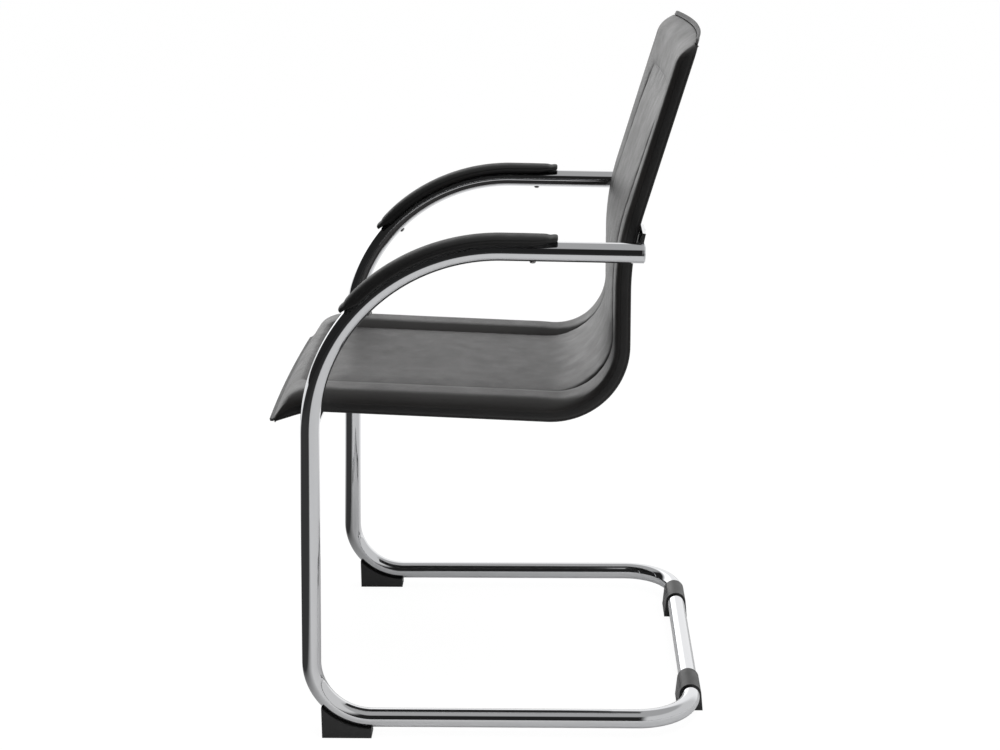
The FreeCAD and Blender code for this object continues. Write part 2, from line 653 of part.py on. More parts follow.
def arm_end_cap(label, side):
    """Cap with a bevelled head and a plug in the open end of the arm tube."""
    place, direction, normal = arm_place(0)
    plug = tube_radius - size.tube_wall - size.spigot_clearance
    length, height, bevel = size.end_cap_plug, size.end_cap_height, size.end_cap_edge
    lead = size.tube_wall
    solid = turned([(0, -length), (plug - lead, -length), (plug, lead - length), (plug, 0), (tube_radius, 0),
                    (tube_radius, height - bevel), (tube_radius - bevel, height), (0, height)],
                   place + ACROSS * side * size.frame_spread / 2, direction)
    return feature("arm_end_cap_" + label, solid)


# Cross-sections of the soft and moulded parts

# How far the straight run between two cross-sections may leave the curve that it follows
LOFT_SAG = 0.2
# Shares of a tapering end at which it has a cross-section
TAPER_SHARES = (0, 0.1, 0.35, 0.7, 1)
# Least distance between two cross-sections of a pad, of the shell, and of the shell at its ends
PAD_STEP = 0.5
SHELL_STEP = 3.0
END_STEP = 0.5


def chord_length(radius):
    """Longest chord that stays within the allowed sag of an arc."""
    return math.sqrt(8 * radius * LOFT_SAG)


def spaced(places, least):
    """The places in order, without those that follow another too closely."""
    chosen = []
    for place in sorted(places):
        if not chosen or place - chosen[-1] > least:
            chosen.append(place)
    return chosen


def ease(share):
    """Rises from 0 to 1 along a quarter of an ellipse."""
    share = min(max(share, 0), 1)
    return math.sqrt(1 - (1 - share) ** 2)


def section(place, normal, points):
    """A closed wire across a route: its points are (across, out)."""
    return closed_wire(points, lambda point: place + ACROSS * point[0] + normal * point[1])


# Arm pads

# Share of a bead's radius by which its first cross-section is lower and narrower
TIP_ROUNDING = 0.7
# Section of a pad: levels of edge, flank and shoulder between lip and top, and widths as shares
PAD_LEVELS = (0.18, 0.55, 0.87)
FLANK_WIDTH = 0.93
SHOULDER_WIDTH = 0.62


def pad_places(length):
    """Where an arm pad has its cross-sections, from its rear tip."""
    bead = size.pad_tip_height / 2
    places = []
    for taper, lift, from_tip in ((size.pad_rear_taper, size.pad_rear_lift, lambda step: step),
                                  (size.pad_front_taper, size.pad_front_lift, lambda step: length - step)):
        for reach in (bead, lift, taper):
            places += [from_tip(reach * share) for share in TAPER_SHARES]
    bend = size.pad_rear_overlap
    steps = math.ceil((length - bend) / chord_length(size.arm_bend_radius))
    places += [bend + (length - bend) * step / steps for step in range(steps)]
    return spaced(places, PAD_STEP)


def pad_section(travel, length):
    """Half width, lower edge and top of an arm pad at a distance from its rear tip."""
    swell = min(ease(travel / size.pad_rear_taper), ease((length - travel) / size.pad_front_taper))
    lift = min(ease(travel / size.pad_rear_lift), ease((length - travel) / size.pad_front_lift))
    bead = size.pad_tip_height / 2
    cut = bead * (1 - ease(min(travel, length - travel) / bead))
    half = size.pad_tip_width + (size.pad_width - size.pad_tip_width) * swell
    lip = size.pad_rear_lip + (size.pad_front_lip - size.pad_rear_lip) * travel / length
    tip = size.pad_tip_rise - size.pad_tip_height
    top = size.pad_tip_rise + (size.pad_rise - size.pad_tip_rise) * swell
    return half / 2 - cut, tip + (lip - tip) * lift + TIP_ROUNDING * cut, top - TIP_ROUNDING * cut


def arm_pad(label, side):
    """Cushioned pad on the arm tube: its lower edge rises to a rolled bead at both tips."""
    straight = tube.legs[-1][2]
    rear_tip, front_tip = straight - size.pad_rear_overlap, straight + size.pad_front_overlap
    length = front_tip - rear_tip
    centre = ACROSS * side * size.frame_spread / 2
    wires = []
    for travel in pad_places(length):
        place, direction, normal = arm_place(rear_tip + travel)
        half, lip, top = pad_section(travel, length)
        edge, flank, shoulder = (lip + share * (top - lip) for share in PAD_LEVELS)
        wires.append(section(place + centre, normal, [
            (half - size.pad_edge, lip), (half, edge),
            ((FLANK_WIDTH * half, flank), (SHOULDER_WIDTH * half, shoulder)),
            ((0, top), (-SHOULDER_WIDTH * half, shoulder)),
            ((-FLANK_WIDTH * half, flank), (-half, edge)),
            (size.pad_edge - half, lip)]))
    solid = Part.makeLoft(wires, True, True)
    beyond = tube_radius
    covered = tube.wire(tube.length - front_tip - beyond, tube.length - rear_tip + beyond, 0, centre.x)
    solid = solid.cut(pipe(covered, tube_radius + size.glide_clearance))
    for travel in pad_screw_travel():
        place, direction, normal = arm_place(travel)
        hole = Part.makeCylinder(size.screw_diameter / 2 + size.screw_clearance,
                                 tube_radius + size.pad_screw_bite + 2 * size.screw_clearance,
                                 place + centre, normal)
        solid = solid.cut(hole)
    return feature("arm_pad_" + label, solid)


# Shell: distances run along the shell route from the front edge to the top edge

bend_start = size.lip_length + shell.legs[1][2] + size.seat_length
bend_end = bend_start + shell.legs[3][2]
lean_start = bend_end + size.lumbar_length
lean_end = lean_start + shell.legs[5][2]
rail_x = size.shell_half_width - size.rail_inset
flat_x = rail_x - rail_radius
rail_top = size.cover_thickness + size.rail_gap + size.rail_diameter
padding_floor = size.shell_thickness - size.padding_thickness


def hollow(travel):
    """How far the middle of the shell lies behind its sides."""
    return size.back_hollow * max(0, travel - lean_start) / (shell.length - lean_start)


def half_width(travel):
    """Half the shell's width, drawn in at the rounded corners."""
    edge = min(travel, shell.length - travel)
    radius = size.corner_radius
    return size.shell_half_width - (radius - radius * ease(edge / radius) if edge < radius else 0)


def face(travel):
    """Height of the face at the side edge above the rear line."""
    front = (travel - size.hem_length) / size.front_nose
    top = (shell.length - size.hem_length - travel) / size.top_nose
    share = min(max(min(front, top), 0), 1)
    return size.tip_thickness + (size.shell_thickness - size.tip_thickness) * (1 - (1 - share) ** 2)


def padding_bottom(travel):
    """Underside of the padding: it thins out with the face towards both edges."""
    share = (face(travel) - size.tip_thickness) / (size.shell_thickness - size.tip_thickness)
    lowest = size.cover_thickness + size.sewing_gap
    return lowest + (padding_floor - lowest) * share


def loft_places():
    """Where every layer of the shell has its cross-sections: closer together where the form changes."""
    steps = TAPER_SHARES[1:]
    corner = size.panel_corner
    front, top = size.panel_front, shell.length - size.panel_top
    places = [size.corner_radius, shell.length - size.corner_radius]
    places += [size.hem_length + size.front_nose * share for share in steps]
    places += [shell.length - size.hem_length - size.top_nose * share for share in steps]
    places += [front + corner * share for share in steps]
    places += [top - corner * share for share in steps]
    begin = 0
    for point, heading, length, turn in shell.legs:
        parts = math.ceil(length / chord_length(length / math.radians(abs(turn)))) if turn else 1
        places += [begin + length * part / parts for part in range(parts + 1)]
        begin += length
    return spaced(places, SHELL_STEP)


LOFT_PLACES = loft_places()


def stations(start, stop):
    """The shared cross-section places between start and stop, with these two as the ends."""
    inside = [place for place in LOFT_PLACES if start + END_STEP < place < stop - END_STEP]
    return [start] + inside + [stop]


def shell_loft(places, points):
    """A solid through cross-sections of the shell; points(travel) gives (across, out) pairs."""
    wires = []
    for travel in places:
        place, direction, normal = shell.at(travel)
        wires.append(section(place, normal, points(travel)))
    return Part.makeLoft(wires, True, True)


def layer(half, low, high, sag):
    """Section of a sheet: flat at its sides, with an arc between them that sags."""
    inner = min(flat_x, half - rail_radius)
    return [(-half, low), (-inner, low), ((0, low - sag), (inner, low)), (half, low),
            (half, high), (inner, high), ((0, high - sag), (-inner, high)), (-half, high)]


def rear_cover():
    """Taut cover under the seat and behind the back; it bridges the lumbar hollow."""
    def bulge(travel):
        begin, finish = bend_end - size.bulge_below, lean_end + size.bulge_above
        share = (travel - begin) / (finish - begin)
        return size.cover_bulge * math.sin(math.pi * share) ** 2 if 0 < share < 1 else 0

    def points(travel):
        half = half_width(travel) - size.cover_thickness - size.sewing_gap
        sag = hollow(travel) + bulge(travel)
        return layer(half, 0, size.cover_thickness, sag)

    places = stations(size.hem_length + size.sewing_gap, shell.length - size.hem_length - size.sewing_gap)
    solid = shell_loft(places, points)
    for side, travel, step, drop in bolt_places():
        place, direction, normal = shell.at(travel)
        start = place + direction * step + ACROSS * side * rail_x - normal * size.cover_thickness
        hole = Part.makeCylinder(size.bolt_diameter / 2 + size.screw_clearance,
                                 3 * size.cover_thickness, start, normal)
        solid = solid.cut(hole)
    return feature("rear_cover", solid)


def side_strip(label, side):
    """Upholstered strip that closes the shell's edge."""
    def points(travel):
        outer = side * half_width(travel)
        inner = outer - side * size.cover_thickness
        top = padding_bottom(travel) - size.sewing_gap
        return [(inner, 0), (outer, 0), (outer, top), (inner, top)]

    places = stations(size.hem_length + size.sewing_gap, shell.length - size.hem_length - size.sewing_gap)
    return feature("side_strip_" + label, shell_loft(places, points))


def hem(name, start, stop):
    """Sewn edge strip at the front or at the top."""
    low = (size.tip_thickness - size.hem_thickness) / 2

    def points(travel):
        return layer(half_width(travel), low, low + size.hem_thickness, hollow(travel))

    return feature(name, shell_loft([start, (start + stop) / 2, stop], points))


def panel_half(travel, inset):
    """Half the width inside the seam, with rounded corners at both ends, drawn in by an inset."""
    edge = min(travel - size.panel_front, shell.length - size.panel_top - travel) - inset
    straight = size.shell_half_width - size.border_width - inset
    radius = size.panel_corner
    return straight - radius + radius * ease(edge / radius)


# Section of the border: its flank, as a share of its width from the side, and the crown there
BORDER_FLANK = 0.2
FLANK_CROWN = 0.75
# The slope down to the seam: its width as a share of the border's, and the crown at its upper end
SEAM_SLOPE = 0.16
SLOPE_CROWN = 0.9
# Middle point of that slope, as shares of its width and of the crown
SLOPE_MIDDLE = (0.3, 0.5)


def border_padding():
    """Crowned padding of seat and back, with the sunken bed of the centre panel."""
    edge = size.hem_length + size.sewing_gap
    front, top_seam = size.panel_front, shell.length - size.panel_top

    def levels(travel):
        low, top = padding_bottom(travel), face(travel)
        crown = size.border_crown * min(1, (top - low) / size.padding_thickness)
        return low, top, crown, hollow(travel)

    def sides(travel):
        """The section up to the crown on the right side, and from the crown on the left side."""
        half = half_width(travel)
        low, top, crown, sag = levels(travel)
        ridge, flank = half - size.border_width / 2, half - BORDER_FLANK * size.border_width
        shoulder = top + FLANK_CROWN * crown
        right = [(-half, low), (-flat_x, low), ((0, low - sag), (flat_x, low)), (half, low), (half, top),
                 ((flank, shoulder), (ridge, top + crown))]
        return right, ridge, [((-flank, shoulder), (-half, top))]

    def plain(travel):
        low, top, crown, sag = levels(travel)
        right, ridge, left = sides(travel)
        return right + [((0, top + crown - sag), (-ridge, top + crown))] + left

    def with_bed(travel):
        low, top, crown, sag = levels(travel)
        right, ridge, left = sides(travel)
        seam = panel_half(travel, 0)
        width = SEAM_SLOPE * size.border_width
        upper, middle = top + SLOPE_CROWN * crown, top + SLOPE_MIDDLE[1] * crown
        bed, rim = top - size.seam_depth - size.panel_floor, top - size.seam_depth
        across = seam + SLOPE_MIDDLE[0] * width
        return right + [(seam + width, upper), ((across, middle), (seam, rim)),
                        (seam, bed), ((0, bed - sag), (-seam, bed)),
                        (-seam, rim), ((-across, middle), (-seam - width, upper)),
                        (-ridge, top + crown)] + left

    solid = shell_loft(stations(edge, front), plain)
    solid = solid.fuse([shell_loft(stations(front, top_seam), with_bed),
                        shell_loft(stations(top_seam, shell.length - edge), plain)])
    return feature("border_padding", solid)


# Section of the centre panel: shares of its half width, its crown and the shell's hollow at two points
PANEL_FLANK = (0.93, 0.5, 0.1)
PANEL_SHOULDER = (0.8, 0.72, 0.3)


def centre_panel():
    """Puffed centre panel of seat and back between the seams."""
    def points(travel):
        half = panel_half(travel, size.panel_gap)
        edge = min(travel - size.panel_front, shell.length - size.panel_top - travel)
        rim = size.shell_thickness - size.seam_depth
        low = rim - size.panel_floor + size.panel_gap
        crown = size.panel_crown * ease(edge / size.border_width)
        sag = hollow(travel)
        (flank, flank_level), (shoulder, shoulder_level) = (
            (width * half, rim + rise * crown - fall * sag)
            for width, rise, fall in (PANEL_FLANK, PANEL_SHOULDER))
        return [(-half, low), ((0, low - sag), (half, low)), (half, rim),
                ((flank, flank_level), (shoulder, shoulder_level)),
                ((0, rim + crown - sag), (-shoulder, shoulder_level)),
                ((-flank, flank_level), (-half, rim))]

    places = stations(size.panel_front + size.panel_gap, shell.length - size.panel_top - size.panel_gap)
    return feature("centre_panel", shell_loft(places, points))


# Hidden frame of the shell

def rail(label, side):
    """Bent round bar along each side of the shell, drilled for the bracket bolts."""
    path = shell.wire(size.rail_front_setback, shell.length - size.rail_top_setback,
                      rail_top - rail_radius, side * rail_x)
    solid = pipe(path, rail_radius)
    for bolt_side, travel, step, drop in bolt_places():
        if bolt_side == side:
            place, direction, normal = shell.at(travel)
            start = place + direction * step + ACROSS * side * rail_x
            hole = Part.makeCylinder(size.bolt_diameter / 2 + size.screw_clearance,
                                     rail_top - rail_radius, start, normal)
            solid = solid.cut(hole)
    return feature("shell_rail_" + label, solid)


def cross_bar(name, travel):
    """Bar between the rails, bowed with the hollow of the back."""
    place, direction, normal = shell.at(travel)
    end = flat_x - size.sewing_gap / 2
    level = rail_top - rail_radius
    left, right = place + normal * level - ACROSS * end, place + normal * level + ACROSS * end
    sag = hollow(travel)
    if sag > 0:
        middle = place + normal * (level - sag)
        path = Part.Wire(Part.Arc(left, middle, right).toShape())
    else:
        path = Part.Wire(Part.LineSegment(left, right).toShape())
    return feature(name, pipe(path, size.bar_diameter / 2))


def suspension_fabric():
    """Fabric stretched over the rails under the padding."""
    low = rail_top + size.web_gap
    half = rail_x + rail_radius / 2

    def points(travel):
        return layer(half, low, low + size.web_thickness, hollow(travel))

    places = stations(size.rail_front_setback, shell.length - size.rail_top_setback)
    return feature("suspension_fabric", shell_loft(places, points))


# Brackets and bolts

def travel_where(test):
    """Distance along the shell route where test(point) becomes true, by halving."""
    low, high = 0, shell.length
    while high - low > 1e-4:
        middle = (low + high) / 2
        low, high = (low, middle) if test(shell.at(middle)[0]) else (middle, high)
    return low


front_bracket_travel = travel_where(lambda point: point.y > size.front_bracket_place)
rear_bracket_travel = travel_where(lambda point: point.z > size.arm_height + size.rear_bracket_rise)


def bolt_places():
    """Every shell bolt: side, distance along the shell route, step along the bracket, bracket's drop."""
    steps = ((front_bracket_travel, 0, front_drop),
             (rear_bracket_travel, -size.bolt_spacing / 2, rear_drop),
             (rear_bracket_travel, size.bolt_spacing / 2, rear_drop))
    return [(side, *step) for label, side in SIDES for step in steps]


def bracket_drop(width, radius):
    """Distance from the shell to a flat bracket that bridges its hollow curve."""
    return size.bracket_gap + LOFT_SAG + (width / 2) ** 2 / (2 * radius)


front_drop = bracket_drop(size.front_bracket_width, size.lip_radius)
rear_drop = bracket_drop(size.rear_bracket_width, size.lumbar_radius)


# Lengths below this count as nothing
TINY = 1e-6


def bracket(name, side, travel, width, drop, cope):
    """Flat steel tab, welded to the tube at its outer end and bolted under a rail at its inner end."""
    place, direction, normal = shell.at(travel)
    inner = rail_x - size.bracket_end
    outer = size.frame_spread / 2
    corner = place - normal * (drop + size.bracket_thickness) - direction * width / 2
    plate = Part.makeBox(outer - inner, width, size.bracket_thickness)
    corners = [edge for edge in plate.Edges
               if edge.BoundBox.YLength < TINY and edge.BoundBox.XMax < TINY and edge.BoundBox.ZLength > TINY]
    plate = plate.makeFillet(size.bracket_corner, corners)
    turn = Rotation(ACROSS, direction, normal, "XYZ")
    plate.Placement = Placement(corner + ACROSS * inner, turn)
    plate = plate.cut(cope)
    for bolt_side, bolt_travel, step, bolt_drop in bolt_places():
        if bolt_side == side and bolt_travel == travel:
            start = place + direction * step + ACROSS * rail_x
            start = start - normal * (drop + 2 * size.bracket_thickness)
            plate = plate.cut(Part.makeCylinder(size.bolt_diameter / 2 + size.screw_clearance,
                                                3 * size.bracket_thickness, start, normal))
    if side < 0:
        plate = plate.mirror(Vector(0, 0, 0), ACROSS)
    return feature(name, plate)


def front_bracket(label, side):
    """Tab from the leg, just where it turns into the arm, to the front of the seat."""
    upper_tube = tube.wire(tube.legs[0][2], tube.length, 0, size.frame_spread / 2)
    cope = pipe(upper_tube, tube_radius + size.weld_gap)
    return bracket("front_bracket_" + label, side, front_bracket_travel, size.front_bracket_width,
                   front_drop, cope)


def rear_bracket(label, side):
    """Tab from the arm's rear end to the back."""
    end, direction, normal = arm_place(0)
    reach = size.rear_bracket_width
    cope = Part.makeCylinder(tube_radius + size.weld_gap, 2 * reach,
                             end - direction * reach + ACROSS * size.frame_spread / 2, direction)
    return bracket("rear_bracket_" + label, side, rear_bracket_travel, size.rear_bracket_width,
                   rear_drop, cope)


def shell_bolts():
    """Bolts through the brackets into the rails."""
    solids = []
    for side, travel, step, drop in bolt_places():
        depth = drop + size.bracket_thickness
        place, direction, normal = shell.at(travel)
        start = place + direction * step + ACROSS * side * rail_x - normal * depth
        solids.append(screw(start, normal, size.bolt_diameter, size.bolt_head_diameter,
                            size.bolt_head_height, depth + rail_top - rail_radius - size.bolt_tip_gap))
    return feature("shell_bolts", Part.makeCompound(solids))


# The chair

def build():
    parts = []
    for label, side in SIDES:
        for make in (side_frame, joint_spigot, rear_glide, front_glide, arm_end_cap, arm_pad,
                     side_strip, rail, front_bracket, rear_bracket):
            parts.append(make(label, side))
    parts.append(rear_cross_tube())
    parts.append(front_glide_screws())
    parts.append(arm_pad_screws())
    parts.append(shell_bolts())
    parts.append(rear_cover())
    parts.append(border_padding())
    parts.append(centre_panel())
    parts.append(suspension_fabric())
    parts.append(hem("front_hem", 0, size.hem_length))
    parts.append(hem("top_hem", shell.length - size.hem_length, shell.length))
    parts.append(cross_bar("seat_front_bar", size.rail_front_setback + size.bar_diameter))
    parts.append(cross_bar("seat_rear_bar", bend_start - size.bar_diameter))
    parts.append(cross_bar("lumbar_bar", (bend_end + lean_start) / 2))
    parts.append(cross_bar("back_top_bar", shell.length - size.rail_top_setback - size.bar_diameter))
    return parts


def export(parts):
    """Checks every object and writes one STEP file for each part."""
    doc.recompute()
    for item in doc.Objects:
        if "Invalid" in item.State or "Error" in item.State:
            raise RuntimeError(f"{item.Name} failed: {item.State}")
    os.makedirs("parts", exist_ok=True)
    for part in parts:
        shape = part.Shape
        if shape.isNull() or not shape.isValid() or not shape.Solids:
            raise RuntimeError(f"{part.Label} has no valid solid")
        print(f"{part.Label}: {len(shape.Solids)} solid(s), {shape.Volume / 1000:.2f} cm3")
        shape.exportStep(f"parts/{part.Label}.step")


export(build())
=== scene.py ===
import json
import math

import bmesh
import bpy
import numpy as np
from mathutils import Matrix, Vector


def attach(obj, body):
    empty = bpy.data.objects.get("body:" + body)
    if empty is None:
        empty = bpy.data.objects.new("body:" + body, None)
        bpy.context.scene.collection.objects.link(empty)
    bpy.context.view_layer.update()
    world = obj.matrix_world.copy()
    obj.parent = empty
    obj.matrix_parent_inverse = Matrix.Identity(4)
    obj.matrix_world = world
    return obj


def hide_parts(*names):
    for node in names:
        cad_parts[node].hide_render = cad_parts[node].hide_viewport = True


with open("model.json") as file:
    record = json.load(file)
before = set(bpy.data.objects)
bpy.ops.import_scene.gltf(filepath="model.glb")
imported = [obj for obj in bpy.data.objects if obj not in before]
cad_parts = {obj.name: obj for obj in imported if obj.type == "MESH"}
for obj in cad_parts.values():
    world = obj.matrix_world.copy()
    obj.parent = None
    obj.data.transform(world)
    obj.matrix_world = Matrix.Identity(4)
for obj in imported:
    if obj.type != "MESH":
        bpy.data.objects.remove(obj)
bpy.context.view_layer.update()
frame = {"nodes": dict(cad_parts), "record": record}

# The object: a cantilever armchair of bent chromed tube with a thin upholstered shell.
# Metres and degrees. X points to the sitter's left, the seat faces -Y and Z is up from the floor.

# Frame tube
TUBE_RADIUS, TUBE_WALL = 0.0127, 0.0015
TUBE_SPREAD = 0.530
RUNNER_HEIGHT = 0.0245
ARM_HEIGHT, ARM_REAR, ARM_SLOPE = 0.6615, 0.1953, 1.2
ARM_BEND_RADIUS = 0.245
LEG_LEAN = 1.56
FOOT_BEND_RADIUS, FOOT_BEND_PLACE = 0.080, -0.1585
REAR_BEND_RADIUS = 0.076
CROSS_TUBE_PLACE, JOINT_PLACE, HALF_JOINT_GAP = 0.273, 0.1625, 0.0005
BEND_STEPS, TUBE_SIDES, TUBE_END_RING = 48, 72, 0.0006

# Arm pads
PAD_FRONT, PAD_REAR = 0.219, 0.069
PAD_WIDTH, PAD_TIP_WIDTH = 0.0360, 0.0270
PAD_RISE, PAD_TIP_RISE, PAD_TIP_HEIGHT = 0.0220, 0.0204, 0.0052
PAD_FRONT_LIP, PAD_REAR_LIP = 0.0065, 0.0115
PAD_FRONT_LIFT, PAD_REAR_LIFT = 0.028, 0.030
PAD_FRONT_TAPER, PAD_REAR_TAPER = 0.052, 0.045
PAD_DIP_DEPTH, PAD_DIP_PLACE, PAD_DIP_WIDTH = 0.0011, 0.0095, 0.0035
PAD_CREASE_DEPTH, PAD_CREASE_PLACE, PAD_CREASE_WIDTH = 0.0007, 0.0052, 0.0009
PAD_FULL_HEIGHT = 0.012
PAD_SIDE_POWER, PAD_TOP_POWER = 0.72, 0.80
PAD_TIP_SLANT = 0.7
PAD_BORE_GAP, PAD_SIDE_WALL, PAD_SKIN = 0.0003, 0.0012, 0.0015
PAD_TIP_STEPS = (0.0, 0.0006, 0.0013, 0.0022, 0.0035)
PAD_TIP_REACH, PAD_STEP = 0.005, 0.002
PAD_COLUMNS, PAD_BORE_COLUMNS = 48, 12

# Shell route: the rear and bottom line of the shell's side, from the front edge to the top edge
SHELL_START = (-0.2915, 0.423)
LIP_ANGLE = 18.0
LIP_LENGTH, LIP_RADIUS = 0.038, 0.100
SEAT_SLOPE, SEAT_LENGTH = 2.6, 0.296
BEND_RADIUS = 0.103
LUMBAR_LENGTH, LUMBAR_RADIUS = 0.071, 0.350
BACK_LEAN, BACK_LENGTH = 17.0, 0.2285

# Shell section
HALF_WIDTH = 0.218
THICKNESS = 0.022
TIP_THICKNESS = 0.005
FRONT_NOSE, TOP_NOSE = 0.052, 0.028
HEM_LENGTH, HEM_THICKNESS = 0.007, 0.0032
CORNER_RADIUS, TOP_CORNER_RADIUS = 0.013, 0.024
BACK_HOLLOW, FLAT_SIDE = 0.013, 0.019
COVER, PADDING, GAP = 0.002, 0.0054, 0.0002
LEAST_PADDING = 0.0004
EDGE_ARCH, ARCH_REACH = 0.0025, 0.12
EDGE_ROUNDING = 0.0062
EDGE_DROP, EDGE_DROP_WIDTH = 0.0030, 0.015
EDGE_DROP_START, EDGE_DROP_END, EDGE_DROP_CHANGE = 0.01, 0.06, 0.12
BACK_SINK, BACK_EDGE_DROP, BACK_SINK_START = 0.0022, 0.0005, 0.03

# Seam round the centre panel
BORDER_WIDTH = 0.063
PANEL_FRONT, PANEL_TOP = 0.056, 0.078
PANEL_CORNER = 0.016
SEAM_DEPTH, BACK_SEAM_EXTRA, SEAM_FADE = 0.0028, 0.0014, 0.06
BORDER_GROOVE, PANEL_GROOVE, GROOVE_POWER = 0.0045, 0.0035, 1.5
SEAT_BORDER_CROWN, BACK_BORDER_CROWN = 0.0075, 0.0016
CROWN_FULLNESS, CROWN_FADE = 4.2, 0.03
SEAT_SINK, SEAT_SINK_WIDTH = 0.0030, 0.014
SEAT_CHANGE = (-0.02, 0.09)
PANEL_CROWN, PANEL_SLOPE, PANEL_WIDE_SLOPE = 0.0045, 0.055, 0.16
PANEL_SLOPE_SHARE, PANEL_WAVE_FADE = 0.8, 0.04

# Covers and hems
COVER_BULGE, COVER_BULGE_LEAD, COVER_BULGE_EXTRA = 0.0055, 0.030, 0.110
COVER_STEP, COVER_COLUMNS = 0.006, 60
STRIP_STEP, STRIP_END_STEP, STRIP_FRONT_END, STRIP_TOP_END = 0.006, 0.004, 0.10, 0.06
STRIP_ROWS, STRIP_BACK_ROWS = 12, 4
STRIP_BULGE, STRIP_WAVE, STRIP_WAVE_PITCH = 0.0006, 0.0002, 0.017
STRIP_SEAM_PLACE, STRIP_SEAM_DEPTH, STRIP_SEAM_WIDTH = 0.0034, 0.0008, 0.0006
STRIP_TUCK = 0.0009
HEM_ROWS, HEM_COLUMNS = 8, 80
HEM_ROUNDING, HEM_ROUNDING_SHARE = 0.0011, 0.22
HEM_STITCH_DEPTH, HEM_STITCH_PLACE, HEM_STITCH_WIDTH = 0.0005, 0.42, 0.08

# Grid of the upholstery
FINE, COARSE = 0.0016, 0.0045
FINE_REACH, SEAM_MARGIN, ON_SEAM = 0.012, 0.004, 1e-9
EDGE_COLUMNS = 8

SIDES = (("left", 1), ("right", -1))
X_AXIS, Y_AXIS, Z_AXIS = np.eye(3)


def bell(value, middle, width):
    """1 at the middle, falling to nothing on both sides."""
    return np.exp(-((value - middle) / width) ** 2)


def smooth(low, high, value):
    """Rises smoothly from 0 at low to 1 at high."""
    t = np.clip((value - low) / (high - low), 0, 1)
    return t * t * (3 - 2 * t)


def ease(share):
    """Rises from 0 to 1 along a quarter of an ellipse."""
    share = np.clip(share, 0, 1)
    return np.sqrt(1 - (1 - share) ** 2)


# Route of the shell

def arc_length(radius, turn):
    return radius * math.radians(turn)


SHELL_LEGS = (
    (LIP_LENGTH, 0),
    (arc_length(LIP_RADIUS, LIP_ANGLE + SEAT_SLOPE), -(LIP_ANGLE + SEAT_SLOPE)),
    (SEAT_LENGTH, 0),
    (arc_length(BEND_RADIUS, 90 + SEAT_SLOPE), 90 + SEAT_SLOPE),
    (LUMBAR_LENGTH, 0),
    (arc_length(LUMBAR_RADIUS, BACK_LEAN), -BACK_LEAN),
    (BACK_LENGTH, 0),
)
SHELL_LENGTH = sum(length for length, turn in SHELL_LEGS)
LEG_ENDS = [sum(length for length, turn in SHELL_LEGS[:count + 1]) for count in range(len(SHELL_LEGS))]
BEND_START, BEND_END, LEAN_START, LEAN_END = LEG_ENDS[2:6]


def route(travel):
    """Y, Z and the unit direction at distances along the shell route, which runs on straight at its ends."""
    travel = np.asarray(travel, float)
    y, z = np.full_like(travel, SHELL_START[0]), np.full_like(travel, SHELL_START[1])
    heading = np.full_like(travel, math.radians(LIP_ANGLE))
    left = travel.copy()
    for number, (length, turn) in enumerate(SHELL_LEGS):
        last = number == len(SHELL_LEGS) - 1
        step = left if last else np.minimum(left, length)
        step = step if number == 0 else np.maximum(step, 0)
        if turn == 0:
            y, z = y + np.cos(heading) * step, z + np.sin(heading) * step
        else:
            radius = length / math.radians(turn)
            stop = heading + step / radius
            y = y + radius * (np.sin(stop) - np.sin(heading))
            z = z + radius * (np.cos(heading) - np.cos(stop))
            heading = stop
        left = left - step
    return y, z, np.cos(heading), np.sin(heading)


def arched(travel, across):
    """The front and top edges bow out in the middle."""
    share = 1 - 2 * (across / HALF_WIDTH) ** 2
    ends = smooth(SHELL_LENGTH - ARCH_REACH, SHELL_LENGTH, travel) + smooth(0, ARCH_REACH, travel) - 1
    return travel + EDGE_ARCH * share * ends


def on_shell(travel, across, height):
    """Points at a distance along the route, across it and above its rear line, as an array of rows."""
    y, z, dy, dz = route(arched(travel, across))
    return np.stack([across, y - dz * height, z + dy * height], axis=-1)


def hollow(travel):
    """How far the middle of the shell lies behind its sides."""
    return BACK_HOLLOW * np.clip((travel - LEAN_START) / (SHELL_LENGTH - LEAN_START), 0, None)


def hollow_at(travel, across):
    """The hollow at a place across the shell: an arc that is flat at the sides."""
    share = np.clip(np.abs(across) / (HALF_WIDTH - FLAT_SIDE), 0, 1)
    return hollow(travel) * (1 - share ** 2)


def half_width(travel):
    """Half the shell's width, with rounded corners at both ends."""
    edge = np.minimum(travel, SHELL_LENGTH - travel)
    radius = np.where(travel > SHELL_LENGTH / 2, TOP_CORNER_RADIUS, CORNER_RADIUS)
    return HALF_WIDTH - radius * (1 - ease(edge / radius))


def face_height(travel):
    """Height of the face at the side edge above the rear line."""
    front = (travel - HEM_LENGTH) / FRONT_NOSE
    top = (SHELL_LENGTH - HEM_LENGTH - travel) / TOP_NOSE
    share = np.clip(np.minimum(front, top), 0, 1)
    thick = THICKNESS - BACK_SINK * smooth(BEND_START + BACK_SINK_START, BEND_END, travel)
    return TIP_THICKNESS + (thick - TIP_THICKNESS) * (1 - (1 - share) ** 2)


def padding_bottom(travel):
    """Height of the padding's underside, which sinks towards both ends as the face does."""
    share = (face_height(travel) - TIP_THICKNESS) / (THICKNESS - TIP_THICKNESS)
    lowest = COVER + GAP
    return lowest + (THICKNESS - PADDING - lowest) * share


